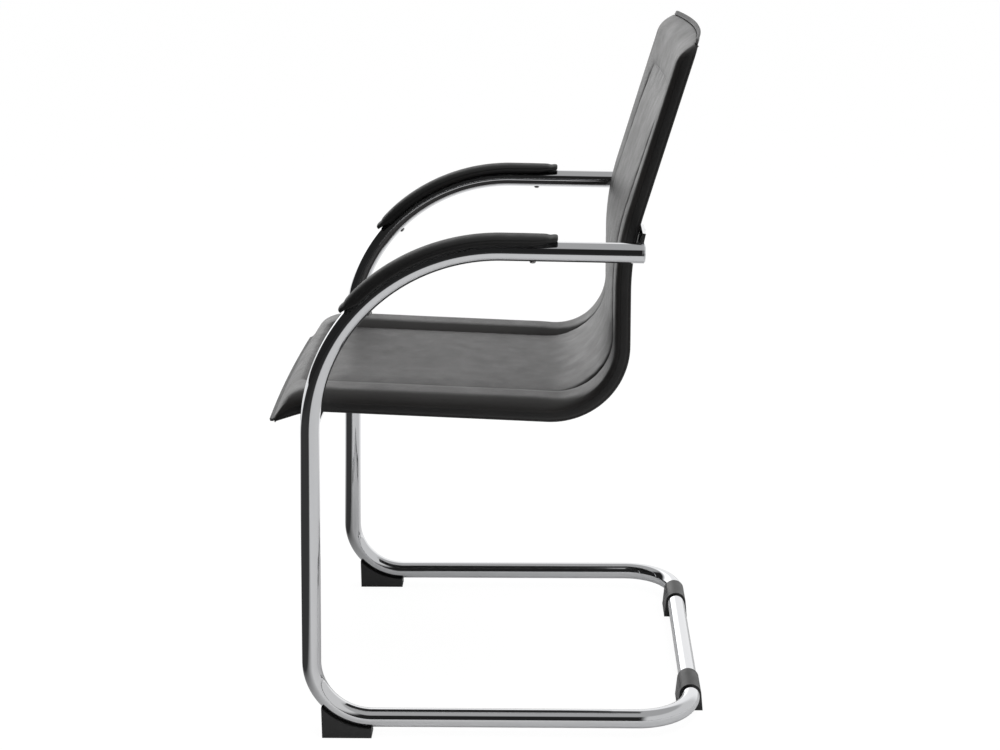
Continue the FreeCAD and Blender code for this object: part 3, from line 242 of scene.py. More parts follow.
def seam_distance(travel, across):
    """Distance from the seam round the centre panel, on the unrolled shell: above 0 outside it."""
    middle = (PANEL_FRONT + SHELL_LENGTH - PANEL_TOP) / 2
    half_length = (SHELL_LENGTH - PANEL_TOP - PANEL_FRONT) / 2
    dx = np.abs(across) - (HALF_WIDTH - BORDER_WIDTH - PANEL_CORNER)
    ds = np.abs(travel - middle) - (half_length - PANEL_CORNER)
    outside = np.hypot(np.maximum(dx, 0), np.maximum(ds, 0))
    return outside + np.minimum(np.maximum(dx, ds), 0) - PANEL_CORNER


# Helpers for meshes

def link(name, mesh):
    """An object of this name and mesh in the scene."""
    piece = bpy.data.objects.new(name, mesh)
    bpy.context.scene.collection.objects.link(piece)
    return piece


def mesh_piece(name, vertices, faces):
    """A smooth mesh whose faces look outwards."""
    mesh = bpy.data.meshes.new(name)
    mesh.from_pydata([tuple(v) for v in vertices], [], faces)
    mesh.update()
    work = bmesh.new()
    work.from_mesh(mesh)
    bmesh.ops.recalc_face_normals(work, faces=work.faces)
    work.to_mesh(mesh)
    work.free()
    mesh.polygons.foreach_set("use_smooth", [True] * len(mesh.polygons))
    return link(name, mesh)


def grid_faces(rows, columns):
    """Quads between the points of a grid, counted row by row."""
    faces = []
    for i in range(rows - 1):
        for j in range(columns - 1):
            a = i * columns + j
            b = a + columns
            faces.append((a, a + 1, b + 1, b))
    return faces


def closed_body(name, top, bottom, faces):
    """A closed body between two point sets of the same grid; faces lists the quads that are kept."""
    used = sorted({index for face in faces for index in face})
    new_index = {old: new for new, old in enumerate(used)}
    count = len(used)
    vertices = np.concatenate([top[used], bottom[used]])
    quads = [tuple(new_index[index] for index in face) for face in faces]
    body = quads + [tuple(index + count for index in reversed(quad)) for quad in quads]
    edges = [(a, b) for quad in quads for a, b in zip(quad, quad[1:] + quad[:1])]
    inner = set(edges)
    body += [(b, a, a + count, b + count) for a, b in edges if (b, a) not in inner]
    return mesh_piece(name, vertices, body)


def lines_with(spans):
    """Grid lines from spans of (start, stop, step), in order and without repeats."""
    values = []
    for start, stop, step in spans:
        count = max(1, round((stop - start) / step))
        values += [start + (stop - start) * n / count for n in range(count + 1)]
    values = sorted(values)
    return np.array([v for n, v in enumerate(values) if n == 0 or v - values[n - 1] > 1e-5])


# Tubes

def arc_points(centre, start, turn, radius, along, up):
    """Points on an arc in the plane of two directions, from one angle through a turn in degrees."""
    angles = [math.radians(start + turn * n / BEND_STEPS) for n in range(BEND_STEPS + 1)]
    return [centre + radius * (math.cos(angle) * along + math.sin(angle) * up) for angle in angles]


def arm_route():
    """A side tube's centre line from the arm's rear end to the floor runner, and the arm bend's centre."""
    lean, slope = math.radians(LEG_LEAN), math.radians(ARM_SLOPE)
    leg = math.sin(lean) * Y_AXIS + math.cos(lean) * Z_AXIS
    leg_side = -math.cos(lean) * Y_AXIS + math.sin(lean) * Z_AXIS
    arm_up = math.sin(slope) * Y_AXIS + math.cos(slope) * Z_AXIS
    foot_centre = FOOT_BEND_PLACE * Y_AXIS + (RUNNER_HEIGHT + FOOT_BEND_RADIUS) * Z_AXIS
    inner = foot_centre + leg_side * (FOOT_BEND_RADIUS - ARM_BEND_RADIUS)
    arm_end = ARM_REAR * Y_AXIS + ARM_HEIGHT * Z_AXIS
    leg_length = (-ARM_BEND_RADIUS - (inner - arm_end) @ arm_up) / (leg @ arm_up)
    arm_centre = inner + leg * leg_length
    arm_turn, foot_turn = 90 + ARM_SLOPE - LEG_LEAN, 90 + LEG_LEAN
    points = [arm_end]
    points += arc_points(arm_centre, 90 - ARM_SLOPE, arm_turn, ARM_BEND_RADIUS, Y_AXIS, Z_AXIS)
    points += arc_points(foot_centre, 180 - LEG_LEAN, foot_turn, FOOT_BEND_RADIUS, Y_AXIS, Z_AXIS)
    return points, arm_centre


SIDE_POINTS, ARM_CENTRE = arm_route()


def tube_frames(points):
    """Two square directions at each point of a centre line, carried on without twist."""
    steps = np.diff(points, axis=0)
    steps /= np.linalg.norm(steps, axis=1)[:, None]
    heading = np.concatenate([steps[:1], steps[:-1] + steps[1:], steps[-1:]])
    heading /= np.linalg.norm(heading, axis=1)[:, None]
    side = X_AXIS if abs(heading[0][0]) < 0.9 else Y_AXIS
    sides = []
    for direction in heading:
        side = side - direction * (side @ direction)
        side = side / np.linalg.norm(side)
        sides.append(side)
    sides = np.array(sides)
    return sides, np.cross(heading, sides)


def end_ring(end, inner):
    """A point close to a tube's end: a ring there keeps the end face's tilt out of the long side faces."""
    inward = inner - end
    return end + inward / np.linalg.norm(inward) * TUBE_END_RING


def hollow_tube(name, points, node):
    """A smooth hollow chromed tube along a centre line."""
    near, far = end_ring(points[0], points[1]), end_ring(points[-1], points[-2])
    points = np.array([points[0], near, *points[1:-1], far, points[-1]])
    first, second = tube_frames(points)
    turns = np.radians(np.arange(TUBE_SIDES) * 360 / TUBE_SIDES)
    ring = first[:, None, :] * np.cos(turns)[:, None] + second[:, None, :] * np.sin(turns)[:, None]
    radii = (TUBE_RADIUS, TUBE_RADIUS - TUBE_WALL)
    shells = [(points[:, None, :] + radius * ring).reshape(-1, 3) for radius in radii]
    rows, count = len(points), len(points) * TUBE_SIDES
    faces = []
    for i in range(rows - 1):
        for j in range(TUBE_SIDES):
            a, b = i * TUBE_SIDES + j, i * TUBE_SIDES + (j + 1) % TUBE_SIDES
            faces.append((a, b, b + TUBE_SIDES, a + TUBE_SIDES))
            faces.append((count + a, count + a + TUBE_SIDES, count + b + TUBE_SIDES, count + b))
    last = (rows - 1) * TUBE_SIDES
    for j in range(TUBE_SIDES):
        k = (j + 1) % TUBE_SIDES
        faces.append((j, count + j, count + k, k))
        faces.append((last + j, last + k, count + last + k, count + last + j))
    piece = mesh_piece(name, np.concatenate(shells), faces)
    for number, face in enumerate(piece.data.polygons):
        face.use_smooth = number < len(faces) - 2 * TUBE_SIDES
    finish_piece(piece, "chrome_tube", node)


def frame_tubes():
    """The two bent side tubes and the cross tube behind."""
    floor_line = CROSS_TUBE_PLACE * Y_AXIS + RUNNER_HEIGHT * Z_AXIS
    for label, side in SIDES:
        outward = side * X_AXIS
        bend_centre = (TUBE_SPREAD / 2 - REAR_BEND_RADIUS) * outward + floor_line - REAR_BEND_RADIUS * Y_AXIS
        points = [point + TUBE_SPREAD / 2 * outward for point in SIDE_POINTS]
        points += arc_points(bend_centre, 0, 90, REAR_BEND_RADIUS, outward, Y_AXIS)
        points.append((JOINT_PLACE + HALF_JOINT_GAP) * outward + floor_line)
        hollow_tube("side_tube_" + label, points, "side_frame_" + label)
    ends = [side * (JOINT_PLACE - HALF_JOINT_GAP) * X_AXIS + floor_line for side in (-1, 1)]
    hollow_tube("cross_tube_polished", ends, "rear_cross_tube")


# Arm pads

def pad_profile(travel, length):
    """Half width, lower edge and top of an arm pad at a distance from its rear tip, beaded at both tips."""
    ends = ease(np.minimum(travel / PAD_REAR_TAPER, (length - travel) / PAD_FRONT_TAPER))
    lift = smooth(0, 1, np.minimum(travel / PAD_REAR_LIFT, (length - travel) / PAD_FRONT_LIFT))
    tip = np.minimum(travel, length - travel)
    bead = PAD_TIP_HEIGHT / 2
    cut = bead * (1 - ease(tip / bead))
    width = PAD_TIP_WIDTH + (PAD_WIDTH - PAD_TIP_WIDTH) * ends
    lip = PAD_REAR_LIP + (PAD_FRONT_LIP - PAD_REAR_LIP) * travel / length
    low = PAD_TIP_RISE - PAD_TIP_HEIGHT
    top = PAD_TIP_RISE + (PAD_RISE - PAD_TIP_RISE) * ends
    dip = PAD_DIP_DEPTH * bell(tip, PAD_DIP_PLACE, PAD_DIP_WIDTH)
    return width / 2 - cut, low + (lip - low) * lift + PAD_TIP_SLANT * cut, top - PAD_TIP_SLANT * cut - dip


def pad_place(travel):
    """Centre of the arm tube at a distance from the pad's rear tip, and the direction up from there."""
    slope = math.radians(ARM_SLOPE)
    past = travel - PAD_REAR
    turn = max(past, 0) / ARM_BEND_RADIUS
    up = math.sin(slope - turn) * Y_AXIS + math.cos(slope - turn) * Z_AXIS
    back = math.cos(slope) * Y_AXIS - math.sin(slope) * Z_AXIS
    return ARM_CENTRE + ARM_BEND_RADIUS * up + max(-past, 0) * back, up


def pad_ring(place, up, out, half, lip, top):
    """One cross-section of a pad: over the top from side to side, and back along the bore on the tube."""
    rows = []
    crease_at = lip + PAD_CREASE_PLACE * min(1.0, (top - lip) / PAD_FULL_HEIGHT)
    for angle in np.radians(np.linspace(0, 180, PAD_COLUMNS + 1)):
        across = math.copysign(abs(math.cos(angle)) ** PAD_SIDE_POWER, math.cos(angle))
        height = lip + (top - lip) * math.sin(angle) ** PAD_TOP_POWER
        crease = PAD_CREASE_DEPTH * bell(height, crease_at, PAD_CREASE_WIDTH)
        rows.append(place + up * height + out * across * (half - crease))
    bore = TUBE_RADIUS + PAD_BORE_GAP
    reach = min(math.sqrt(bore ** 2 - min(lip, bore) ** 2), half - PAD_SIDE_WALL)
    for share in np.linspace(-1, 1, PAD_BORE_COLUMNS + 1):
        rise = math.sqrt(bore ** 2 - (share * reach) ** 2)
        rows.append(place + up * min(max(rise, lip), top - PAD_SKIN) + out * share * reach)
    return rows


def arm_pads():
    """Moulded pads: a crowned top, a crease above the lower edge and a rolled bead at both tips."""
    length = PAD_FRONT + PAD_REAR
    tip_steps = np.array(PAD_TIP_STEPS)
    middle = np.arange(PAD_TIP_REACH, length - PAD_TIP_REACH + PAD_STEP / 20, PAD_STEP)
    travels = np.concatenate([tip_steps, middle, length - tip_steps[::-1]])
    for label, side in SIDES:
        rings = []
        for travel, half, lip, top in zip(travels, *pad_profile(travels, length)):
            place, up = pad_place(travel)
            place = place + side * TUBE_SPREAD / 2 * X_AXIS
            rings.append(pad_ring(place, up, side * X_AXIS, half, lip, top))
        band("arm_pad_moulded_" + label, np.array(rings), "arm_pad_plastic", "arm_pad_" + label)


# Camera: fitted to the photograph

CAMERA_PLACE = (2.546238, 0.085624, 1.154513)
CAMERA_YAW, CAMERA_PITCH, CAMERA_ROLL = 0.0305, 0.2778, -0.0076
FOCAL_PIXELS, IMAGE_WIDTH = 1864.28, 1000
SENSOR_WIDTH, FAR_CLIP = 36.0, 50


def add_camera():
    """Turned by yaw and pitch from a look along -X, then rolled."""
    forward = Vector((-math.cos(CAMERA_YAW) * math.cos(CAMERA_PITCH),
                      -math.sin(CAMERA_YAW) * math.cos(CAMERA_PITCH), -math.sin(CAMERA_PITCH)))
    level = forward.cross(Vector((0, 0, 1))).normalized()
    upright = level.cross(forward)
    right = level * math.cos(CAMERA_ROLL) + upright * math.sin(CAMERA_ROLL)
    up = upright * math.cos(CAMERA_ROLL) - level * math.sin(CAMERA_ROLL)
    data = bpy.data.cameras.new("camera")
    data.sensor_width = SENSOR_WIDTH
    data.lens = FOCAL_PIXELS / IMAGE_WIDTH * SENSOR_WIDTH
    data.clip_end = FAR_CLIP
    camera = bpy.data.objects.new("camera", data)
    turn = Matrix((right, up, -forward)).transposed().to_4x4()
    camera.matrix_world = Matrix.Translation(CAMERA_PLACE) @ turn
    bpy.context.scene.collection.objects.link(camera)
    bpy.context.scene.camera = camera


# Materials

class Nodes:
    """A short way to write a material's nodes."""

    def __init__(self, name):
        self.material = bpy.data.materials.new(name)
        self.material.use_nodes = True
        self.tree = self.material.node_tree
        self.shader = self.tree.nodes["Principled BSDF"]

    def add(self, kind, **settings):
        node = self.tree.nodes.new(kind)
        for key, value in settings.items():
            if hasattr(node, key):
                setattr(node, key, value)
            else:
                node.inputs[key.replace("_", " ")].default_value = value
        return node

    def join(self, start, end):
        self.tree.links.new(start, end)

    def set(self, **values):
        for key, value in values.items():
            self.shader.inputs[key.replace("_", " ")].default_value = value

    def coordinates(self):
        return self.add("ShaderNodeTexCoord").outputs["Object"]

    def noise(self, scale, detail=4.0, roughness=0.55):
        node = self.add("ShaderNodeTexNoise", Scale=scale, Detail=detail, Roughness=roughness)
        self.join(self.coordinates(), node.inputs["Vector"])
        return node.outputs["Fac"]

    def ramp(self, source, low_value, high_value, low=0.3, high=0.7):
        """Spreads a source's middle range over two values."""
        node = self.add("ShaderNodeMapRange")
        values = (("From Min", low), ("From Max", high), ("To Min", low_value), ("To Max", high_value))
        for label, value in values:
            node.inputs[label].default_value = value
        self.join(source, node.inputs["Value"])
        return node.outputs["Result"]

    def colour_mix(self, source, first, second):
        """Mixes two colours, which are sockets 6 and 7 of the node and come out at its socket 2."""
        node = self.add("ShaderNodeMix", data_type="RGBA")
        node.inputs[6].default_value = (*first, 1)
        node.inputs[7].default_value = (*second, 1)
        self.join(source, node.inputs[0])
        return node.outputs[2]

    def bump(self, height, strength, distance, below=None):
        node = self.add("ShaderNodeBump")
        node.inputs["Strength"].default_value = strength
        node.inputs["Distance"].default_value = distance
        self.join(height, node.inputs["Height"])
        if below is not None:
            self.join(below, node.inputs["Normal"])
        return node.outputs["Normal"]


def leather_material(name, dark, light, rough_low, rough_high, grain=900.0):
    """Grained coated leather: voronoi pebbles, fine creases and broad tone changes."""
    n = Nodes(name)
    tone = n.ramp(n.noise(scale=9.0, detail=5.0), 0, 1)
    roughness = n.ramp(n.noise(scale=38.0, detail=6.0), rough_low, rough_high)
    wobble = n.add("ShaderNodeTexNoise", Scale=grain * 0.6, Detail=3.0)
    n.join(n.coordinates(), wobble.inputs["Vector"])
    mix = n.add("ShaderNodeMixRGB", Fac=0.012)
    n.join(n.coordinates(), mix.inputs["Color1"])
    n.join(wobble.outputs["Color"], mix.inputs["Color2"])
    pebbles = n.add("ShaderNodeTexVoronoi", feature="DISTANCE_TO_EDGE", Scale=grain)
    n.join(mix.outputs["Color"], pebbles.inputs["Vector"])
    pebble_height = n.ramp(pebbles.outputs["Distance"], 0, 1, low=0.0, high=0.35)
    creases = n.noise(scale=grain * 0.22, detail=8.0, roughness=0.65)
    relief = n.bump(creases, strength=0.06, distance=0.0010)
    relief = n.bump(pebble_height, strength=0.16, distance=0.00035, below=relief)
    n.join(n.colour_mix(tone, dark, light), n.shader.inputs["Base Color"])
    n.join(roughness, n.shader.inputs["Roughness"])
    n.join(relief, n.shader.inputs["Normal"])
    n.set(IOR=1.56)
    return n.material


def plastic_material(name, colour, rough_low, rough_high, grain, strength):
    """Moulded plastic with a fine grain and a slightly lighter tone in places."""
    n = Nodes(name)
    lighter = tuple(min(1, c * 1.35 + 0.002) for c in colour)
    roughness = n.ramp(n.noise(scale=60.0, detail=5.0), rough_low, rough_high)
    relief = n.bump(n.noise(scale=grain, detail=3.0), strength, distance=0.0003)
    n.join(n.colour_mix(n.noise(scale=14.0), colour, lighter), n.shader.inputs["Base Color"])
    n.join(roughness, n.shader.inputs["Roughness"])
    n.join(relief, n.shader.inputs["Normal"])
    return n.material


def metal_material(name, colour, tint, rough_low, rough_high):
    """Polished or plated metal with faint wiping marks in its roughness."""
    n = Nodes(name)
    marks = n.noise(scale=22.0, detail=7.0, roughness=0.6)
    n.join(n.colour_mix(n.noise(scale=5.0, detail=3.0), colour, tint), n.shader.inputs["Base Color"])
    n.join(n.ramp(marks, rough_low, rough_high, low=0.35, high=0.75), n.shader.inputs["Roughness"])
    n.set(Metallic=1.0)
    return n.material


def painted_material(name, colour):
    """Powder coat with a fine texture."""
    n = Nodes(name)
    lighter = tuple(c * 1.4 for c in colour)
    relief = n.bump(n.noise(scale=900.0, detail=2.0), strength=0.25, distance=0.0002)
    n.join(n.colour_mix(n.noise(scale=20.0), colour, lighter), n.shader.inputs["Base Color"])
    n.join(relief, n.shader.inputs["Normal"])
    n.set(Roughness=0.5)
    return n.material


def woven_material(name, colour):
    """Coarse woven fabric."""
    n = Nodes(name)
    lighter = tuple(c * 1.8 for c in colour)
    wave = n.add("ShaderNodeTexWave", Scale=420.0, Distortion=0.4)
    n.join(n.coordinates(), wave.inputs["Vector"])
    relief = n.bump(wave.outputs["Fac"], strength=0.5, distance=0.0005)
    n.join(n.colour_mix(wave.outputs["Fac"], colour, lighter), n.shader.inputs["Base Color"])
    n.join(relief, n.shader.inputs["Normal"])
    n.set(Roughness=0.85)
    return n.material


def make_materials():
    """The material of each slot. Colours are linear."""
    return {
        "black_leather": leather_material("black_leather", (0.016, 0.015, 0.0145), (0.023, 0.0215, 0.0205),
                                          0.36, 0.46),
        # leather_cover is the same black leather as black_leather, made rougher, and its darker base colour
        # is painted shade on the side strips, rear cover and hems
        "leather_cover": leather_material("leather_cover", (0.0085, 0.008, 0.008), (0.0115, 0.011, 0.011),
                                          0.46, 0.54),
        "arm_pad_plastic": plastic_material("arm_pad_plastic", (0.006, 0.006, 0.006), 0.50, 0.60,
                                            grain=1500.0, strength=0.22),
        "glide_plastic": plastic_material("glide_plastic", (0.012, 0.012, 0.012), 0.34, 0.44,
                                          grain=1100.0, strength=0.12),
        "chrome_tube": metal_material("chrome_tube", (0.70, 0.71, 0.73), (0.74, 0.74, 0.75), 0.035, 0.075),
        "zinc_screw": metal_material("zinc_screw", (0.42, 0.42, 0.43), (0.5, 0.49, 0.47), 0.25, 0.4),
        "painted_frame": painted_material("painted_frame", (0.02, 0.02, 0.02)),
        "suspension_web": woven_material("suspension_web", (0.03, 0.03, 0.03)),
    }


MATERIALS = make_materials()
SLOT_OF_NODE = {row["node"]: row["material_slot"] for row in frame["record"]["subparts"]}


def dress_nodes():
    """Gives every carried-over node the material of its slot."""
    for name, node in frame["nodes"].items():
        node.data.materials.clear()
        node.data.materials.append(MATERIALS[SLOT_OF_NODE[name]])


def finish_piece(piece, slot, node):
    """Gives a piece its material, and takes it for a node of the part on its one body."""
    piece.data.materials.append(MATERIALS[slot])
    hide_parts(node)
    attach(piece, "root")


# Upholstery

def soft_noise(travel, across, scale, seed):
    """Broad waves in a fixed pattern from -1 to 1, the mean of some that differ in direction and pitch."""
    total = np.zeros_like(travel)
    count = 5
    for number in range(count):
        angle = seed + 1.7 * number
        phase = 2.3 * seed + 1.1 * number
        pitch = scale / (1 + 0.23 * number)
        total += np.sin((travel * math.cos(angle) + across * math.sin(angle)) / pitch + phase)
    return total / count


def puckers(travel, across, distance, depth, fade, slant, pitch):
    """Small folds that run out from the seam at a slant."""
    return depth * np.exp(-distance / fade) * np.sin((travel + across * slant) / pitch)


def seat_share(travel):
    """1 on the seat and 0 on the back."""
    return 1 - smooth(BEND_START + SEAT_CHANGE[0], BEND_START + SEAT_CHANGE[1], travel)


def edge_drop(travel):
    """How far the border's side edge sinks."""
    on_back = smooth(BEND_START, BEND_START + EDGE_DROP_CHANGE, travel)
    most = EDGE_DROP + (BACK_EDGE_DROP - EDGE_DROP) * on_back
    near_front = smooth(EDGE_DROP_START, EDGE_DROP_END, travel)
    near_top = smooth(EDGE_DROP_START, EDGE_DROP_END, SHELL_LENGTH - travel)
    return most * near_front * near_top


def seam_share(travel):
    """How much of the seam shows: less and less towards the top edge."""
    return smooth(0, SEAM_FADE, SHELL_LENGTH - PANEL_TOP - travel)


def groove_depth(travel):
    """The seam's groove is deeper on the back and fades out towards the top edge."""
    return (SEAM_DEPTH + BACK_SEAM_EXTRA * smooth(BEND_START, BEND_END, travel)) * seam_share(travel)


def border_height(travel, across):
    """Face of the padded border: a crown that sinks to the seam and to the shell's edges."""
    base = face_height(travel) - hollow_at(travel, across)
    out = seam_distance(travel, across)
    side = half_width(travel) - np.abs(across)
    end = np.minimum(travel, SHELL_LENGTH - travel) - HEM_LENGTH
    edge = np.minimum(side, np.maximum(end, 0))
    share = np.clip(out / np.maximum(out + edge, 1e-6), 0, 1)
    end_share = smooth(0, CROWN_FADE, end)
    on_seat = seat_share(travel)
    most = BACK_BORDER_CROWN + (SEAT_BORDER_CROWN - BACK_BORDER_CROWN) * on_seat
    crown = most * (1 - np.abs(2 * share - 1) ** CROWN_FULLNESS) * end_share
    sink = SEAT_SINK * on_seat * end_share * (1 - smooth(0, SEAT_SINK_WIDTH, out))
    groove = groove_depth(travel) * np.exp(-np.abs(out / BORDER_GROOVE) ** GROOVE_POWER)
    folds = puckers(travel, across, out, depth=0.00022, fade=0.012, slant=0.6, pitch=0.0031)
    waves = 0.00035 * soft_noise(travel, across, scale=0.034, seed=0.7) * smooth(0, CROWN_FADE, side)
    rounding = EDGE_ROUNDING * (1 - ease(side / EDGE_ROUNDING))
    drop = edge_drop(travel) * (1 - smooth(0, EDGE_DROP_WIDTH, side))
    return base + crown - sink - drop - groove + folds + waves - rounding


def panel_height(travel, across):
    """Face of the puffed centre panel, which lies flat where the seam fades out."""
    base = face_height(travel) - hollow_at(travel, across)
    inside = np.maximum(-seam_distance(travel, across), 0)
    slope = PANEL_SLOPE_SHARE * ease(inside / PANEL_SLOPE)
    wide_slope = (1 - PANEL_SLOPE_SHARE) * ease(inside / PANEL_WIDE_SLOPE)
    puff = PANEL_CROWN * (slope + wide_slope) * seam_share(travel)
    groove = groove_depth(travel) * np.exp(-(inside / PANEL_GROOVE) ** GROOVE_POWER)
    folds = puckers(travel, across, inside, depth=0.00025, fade=0.013, slant=-0.7, pitch=0.0034)
    waves = 0.00028 * soft_noise(travel, across, scale=0.055, seed=2.1) * smooth(0, PANEL_WAVE_FADE, inside)
    return base + puff - groove + folds + waves - SEAT_SINK * seat_share(travel)


def snap_to_seam(travel, across, keep_outside):
    """Moves the points that lie just beyond the seam onto it, so that the cut edge is clean."""
    for _ in range(3):
        distance = seam_distance(travel, across)
        beyond = distance < 0 if keep_outside else distance > 0
        step = 1e-5
        slope_s = (seam_distance(travel + step, across) - distance) / step
        slope_x = (seam_distance(travel, across + step) - distance) / step
        length = np.maximum(np.hypot(slope_s, slope_x), 1e-6)
        travel = np.where(beyond, travel - distance * slope_s / length ** 2, travel)
        across = np.where(beyond, across - distance * slope_x / length ** 2, across)
    return travel, across


def upholstery_grid():
    """Lines of the border's and the panel's grid, fine at the seam and edges: along the route and across."""
    start, stop = HEM_LENGTH + GAP, SHELL_LENGTH - HEM_LENGTH - GAP
    front, top = PANEL_FRONT, SHELL_LENGTH - PANEL_TOP
    seam = HALF_WIDTH - BORDER_WIDTH
    corner = PANEL_CORNER + SEAM_MARGIN
    along = lines_with([(start, start + FINE_REACH, FINE), (start + FINE_REACH, front - FINE_REACH, COARSE),
                        (front - FINE_REACH, front + corner, FINE), (front + corner, top - corner, COARSE),
                        (top - corner, top + FINE_REACH, FINE), (top + FINE_REACH, stop - FINE_REACH, COARSE),
                        (stop - FINE_REACH, stop, FINE)])
    across = lines_with([(0, seam - corner, COARSE), (seam - corner, seam + FINE_REACH, FINE),
                         (seam + FINE_REACH, HALF_WIDTH - EDGE_ROUNDING, COARSE)])
    return along, across


def border_upholstery():
    """Padded border of seat and back: one ring round the panel's opening."""
    along, inner = upholstery_grid()
    turns = np.radians(np.linspace(0, 90, EDGE_COLUMNS + 1))[1:]
    insets = EDGE_ROUNDING * (1 - np.sin(turns))
    half = half_width(along)[:, None]
    right = np.concatenate([inner[None, :] * half / HALF_WIDTH, half - insets[None, :]], axis=1)
    across = np.concatenate([-right[:, :0:-1], right], axis=1)
    travel = np.repeat(along[:, None], across.shape[1], axis=1)
    shape = travel.shape
    travel, across = travel.ravel(), across.ravel()
    outside = seam_distance(travel, across) > -ON_SEAM
    faces = [face for face in grid_faces(*shape) if any(outside[corner] for corner in face)]
    travel, across = snap_to_seam(travel, across, True)
    face = border_height(travel, across)
    low = padding_bottom(travel) - hollow_at(travel, across) - edge_drop(travel)
    bottom = on_shell(travel, across, np.minimum(low, face - LEAST_PADDING))
    piece = closed_body("border_upholstery", on_shell(travel, across, face), bottom, faces)
    finish_piece(piece, "black_leather", "border_padding")


def panel_upholstery():
    """Puffed centre panel of seat and back."""
    along, inner = upholstery_grid()
    inner = inner[inner < HALF_WIDTH - BORDER_WIDTH + SEAM_MARGIN]
    along = along[(along > PANEL_FRONT - SEAM_MARGIN) & (along < SHELL_LENGTH - PANEL_TOP + SEAM_MARGIN)]
    across = np.concatenate([-inner[:0:-1], inner])
    shape = (len(along), len(across))
    travel = np.repeat(along, shape[1])
    across = np.tile(across, shape[0])
    inside = seam_distance(travel, across) < ON_SEAM
    faces = [face for face in grid_faces(*shape) if any(inside[corner] for corner in face)]
    travel, across = snap_to_seam(travel, across, False)
    top = on_shell(travel, across, panel_height(travel, across))
    low = THICKNESS - SEAM_DEPTH - BACK_SEAM_EXTRA - BACK_SINK - SEAT_SINK - hollow_at(travel, across)
    piece = closed_body("panel_upholstery", top, on_shell(travel, across, low), faces)
    finish_piece(piece, "black_leather", "centre_panel")


def band(name, rings, slot, node):
    """A closed strip: rings is an array of (along, round the section, 3)."""
    rows, columns = rings.shape[:2]
    faces = []
    for i in range(rows - 1):
        for j in range(columns):
            a, b = i * columns + j, i * columns + (j + 1) % columns
            faces.append((a, b, b + columns, a + columns))
    faces.append(tuple(range(columns)))
    faces.append(tuple((rows - 1) * columns + j for j in reversed(range(columns))))
    finish_piece(mesh_piece(name, rings.reshape(-1, 3), faces), slot, node)


def side_strips():
    """Edge strips of the shell with a hem line near the rear edge."""
    start, stop = HEM_LENGTH + GAP, SHELL_LENGTH - HEM_LENGTH - GAP
    along = lines_with([(start, STRIP_FRONT_END, STRIP_END_STEP),
                        (STRIP_FRONT_END, SHELL_LENGTH - STRIP_TOP_END, STRIP_STEP),
                        (SHELL_LENGTH - STRIP_TOP_END, stop, STRIP_END_STEP)])
    top = padding_bottom(along) - GAP - edge_drop(along)
    outer = half_width(along)
    bulge = STRIP_BULGE + STRIP_WAVE * np.sin(along / STRIP_WAVE_PITCH)
    for label, side in SIDES:
        rows = []
        for share in np.linspace(0, 1, STRIP_ROWS + 1):
            height = top * share
            seam = STRIP_SEAM_DEPTH * bell(height, STRIP_SEAM_PLACE, STRIP_SEAM_WIDTH)
            tuck = STRIP_TUCK * np.exp(-height / STRIP_SEAM_WIDTH)
            out = outer + bulge * math.sin(math.pi * share) - seam - tuck
            rows.append(on_shell(along, side * out, height))
        for share in np.linspace(1, 0, STRIP_BACK_ROWS + 1):
            rows.append(on_shell(along, side * (outer - COVER), top * share))
        band("side_strip_leather_" + label, np.stack(rows, axis=1), "leather_cover", "side_strip_" + label)


def rear_cover_leather():
    """Taut rear cover that bridges the hollow behind the lumbar bend."""
    along = lines_with([(HEM_LENGTH + GAP, SHELL_LENGTH - HEM_LENGTH - GAP, COVER_STEP)])
    shares = np.linspace(-1, 1, COVER_COLUMNS + 1)
    travel = np.repeat(along[:, None], len(shares), axis=1)
    x = (half_width(travel) - COVER - GAP) * shares[None, :]
    share = (travel - BEND_END + COVER_BULGE_LEAD) / (LEAN_END - BEND_END + COVER_BULGE_EXTRA)
    bulge = np.where((share > 0) & (share < 1), COVER_BULGE * np.sin(math.pi * share) ** 2, 0)
    wide = 1 - np.clip(np.abs(x) / (HALF_WIDTH - FLAT_SIDE), 0, 1) ** 4
    sag = hollow_at(travel, x) + bulge * wide
    waves = 0.0004 * soft_noise(travel, x, scale=0.05, seed=4.0) * wide
    outer = on_shell(travel.ravel(), x.ravel(), (waves - sag).ravel())
    inner = on_shell(travel.ravel(), x.ravel(), (COVER - sag + waves * 0.5).ravel())
    piece = closed_body("rear_cover_leather", outer, inner, grid_faces(*travel.shape))
    finish_piece(piece, "leather_cover", "rear_cover")


def hem_leather(name, node, start, stop):
    """Turned and sewn edge at the front or at the top, with a stitched channel."""
    along = np.linspace(start, stop, HEM_ROWS + 1)
    shares = np.linspace(-1, 1, HEM_COLUMNS + 1)
    travel = np.repeat(along[:, None], len(shares), axis=1)
    x = half_width(travel) * shares[None, :]
    edge = np.minimum(travel - start, stop - travel) / (stop - start)
    low = (TIP_THICKNESS - HEM_THICKNESS) / 2 - hollow_at(travel, x)
    round_off = HEM_ROUNDING * (1 - ease(edge / HEM_ROUNDING_SHARE))
    stitch = HEM_STITCH_DEPTH * bell(edge, HEM_STITCH_PLACE, HEM_STITCH_WIDTH)
    top = on_shell(travel.ravel(), x.ravel(), (low + HEM_THICKNESS - round_off - stitch).ravel())
    bottom = on_shell(travel.ravel(), x.ravel(), (low + round_off + stitch).ravel())
    piece = closed_body(name, top, bottom, grid_faces(*travel.shape))
    finish_piece(piece, "leather_cover", node)


# Studio

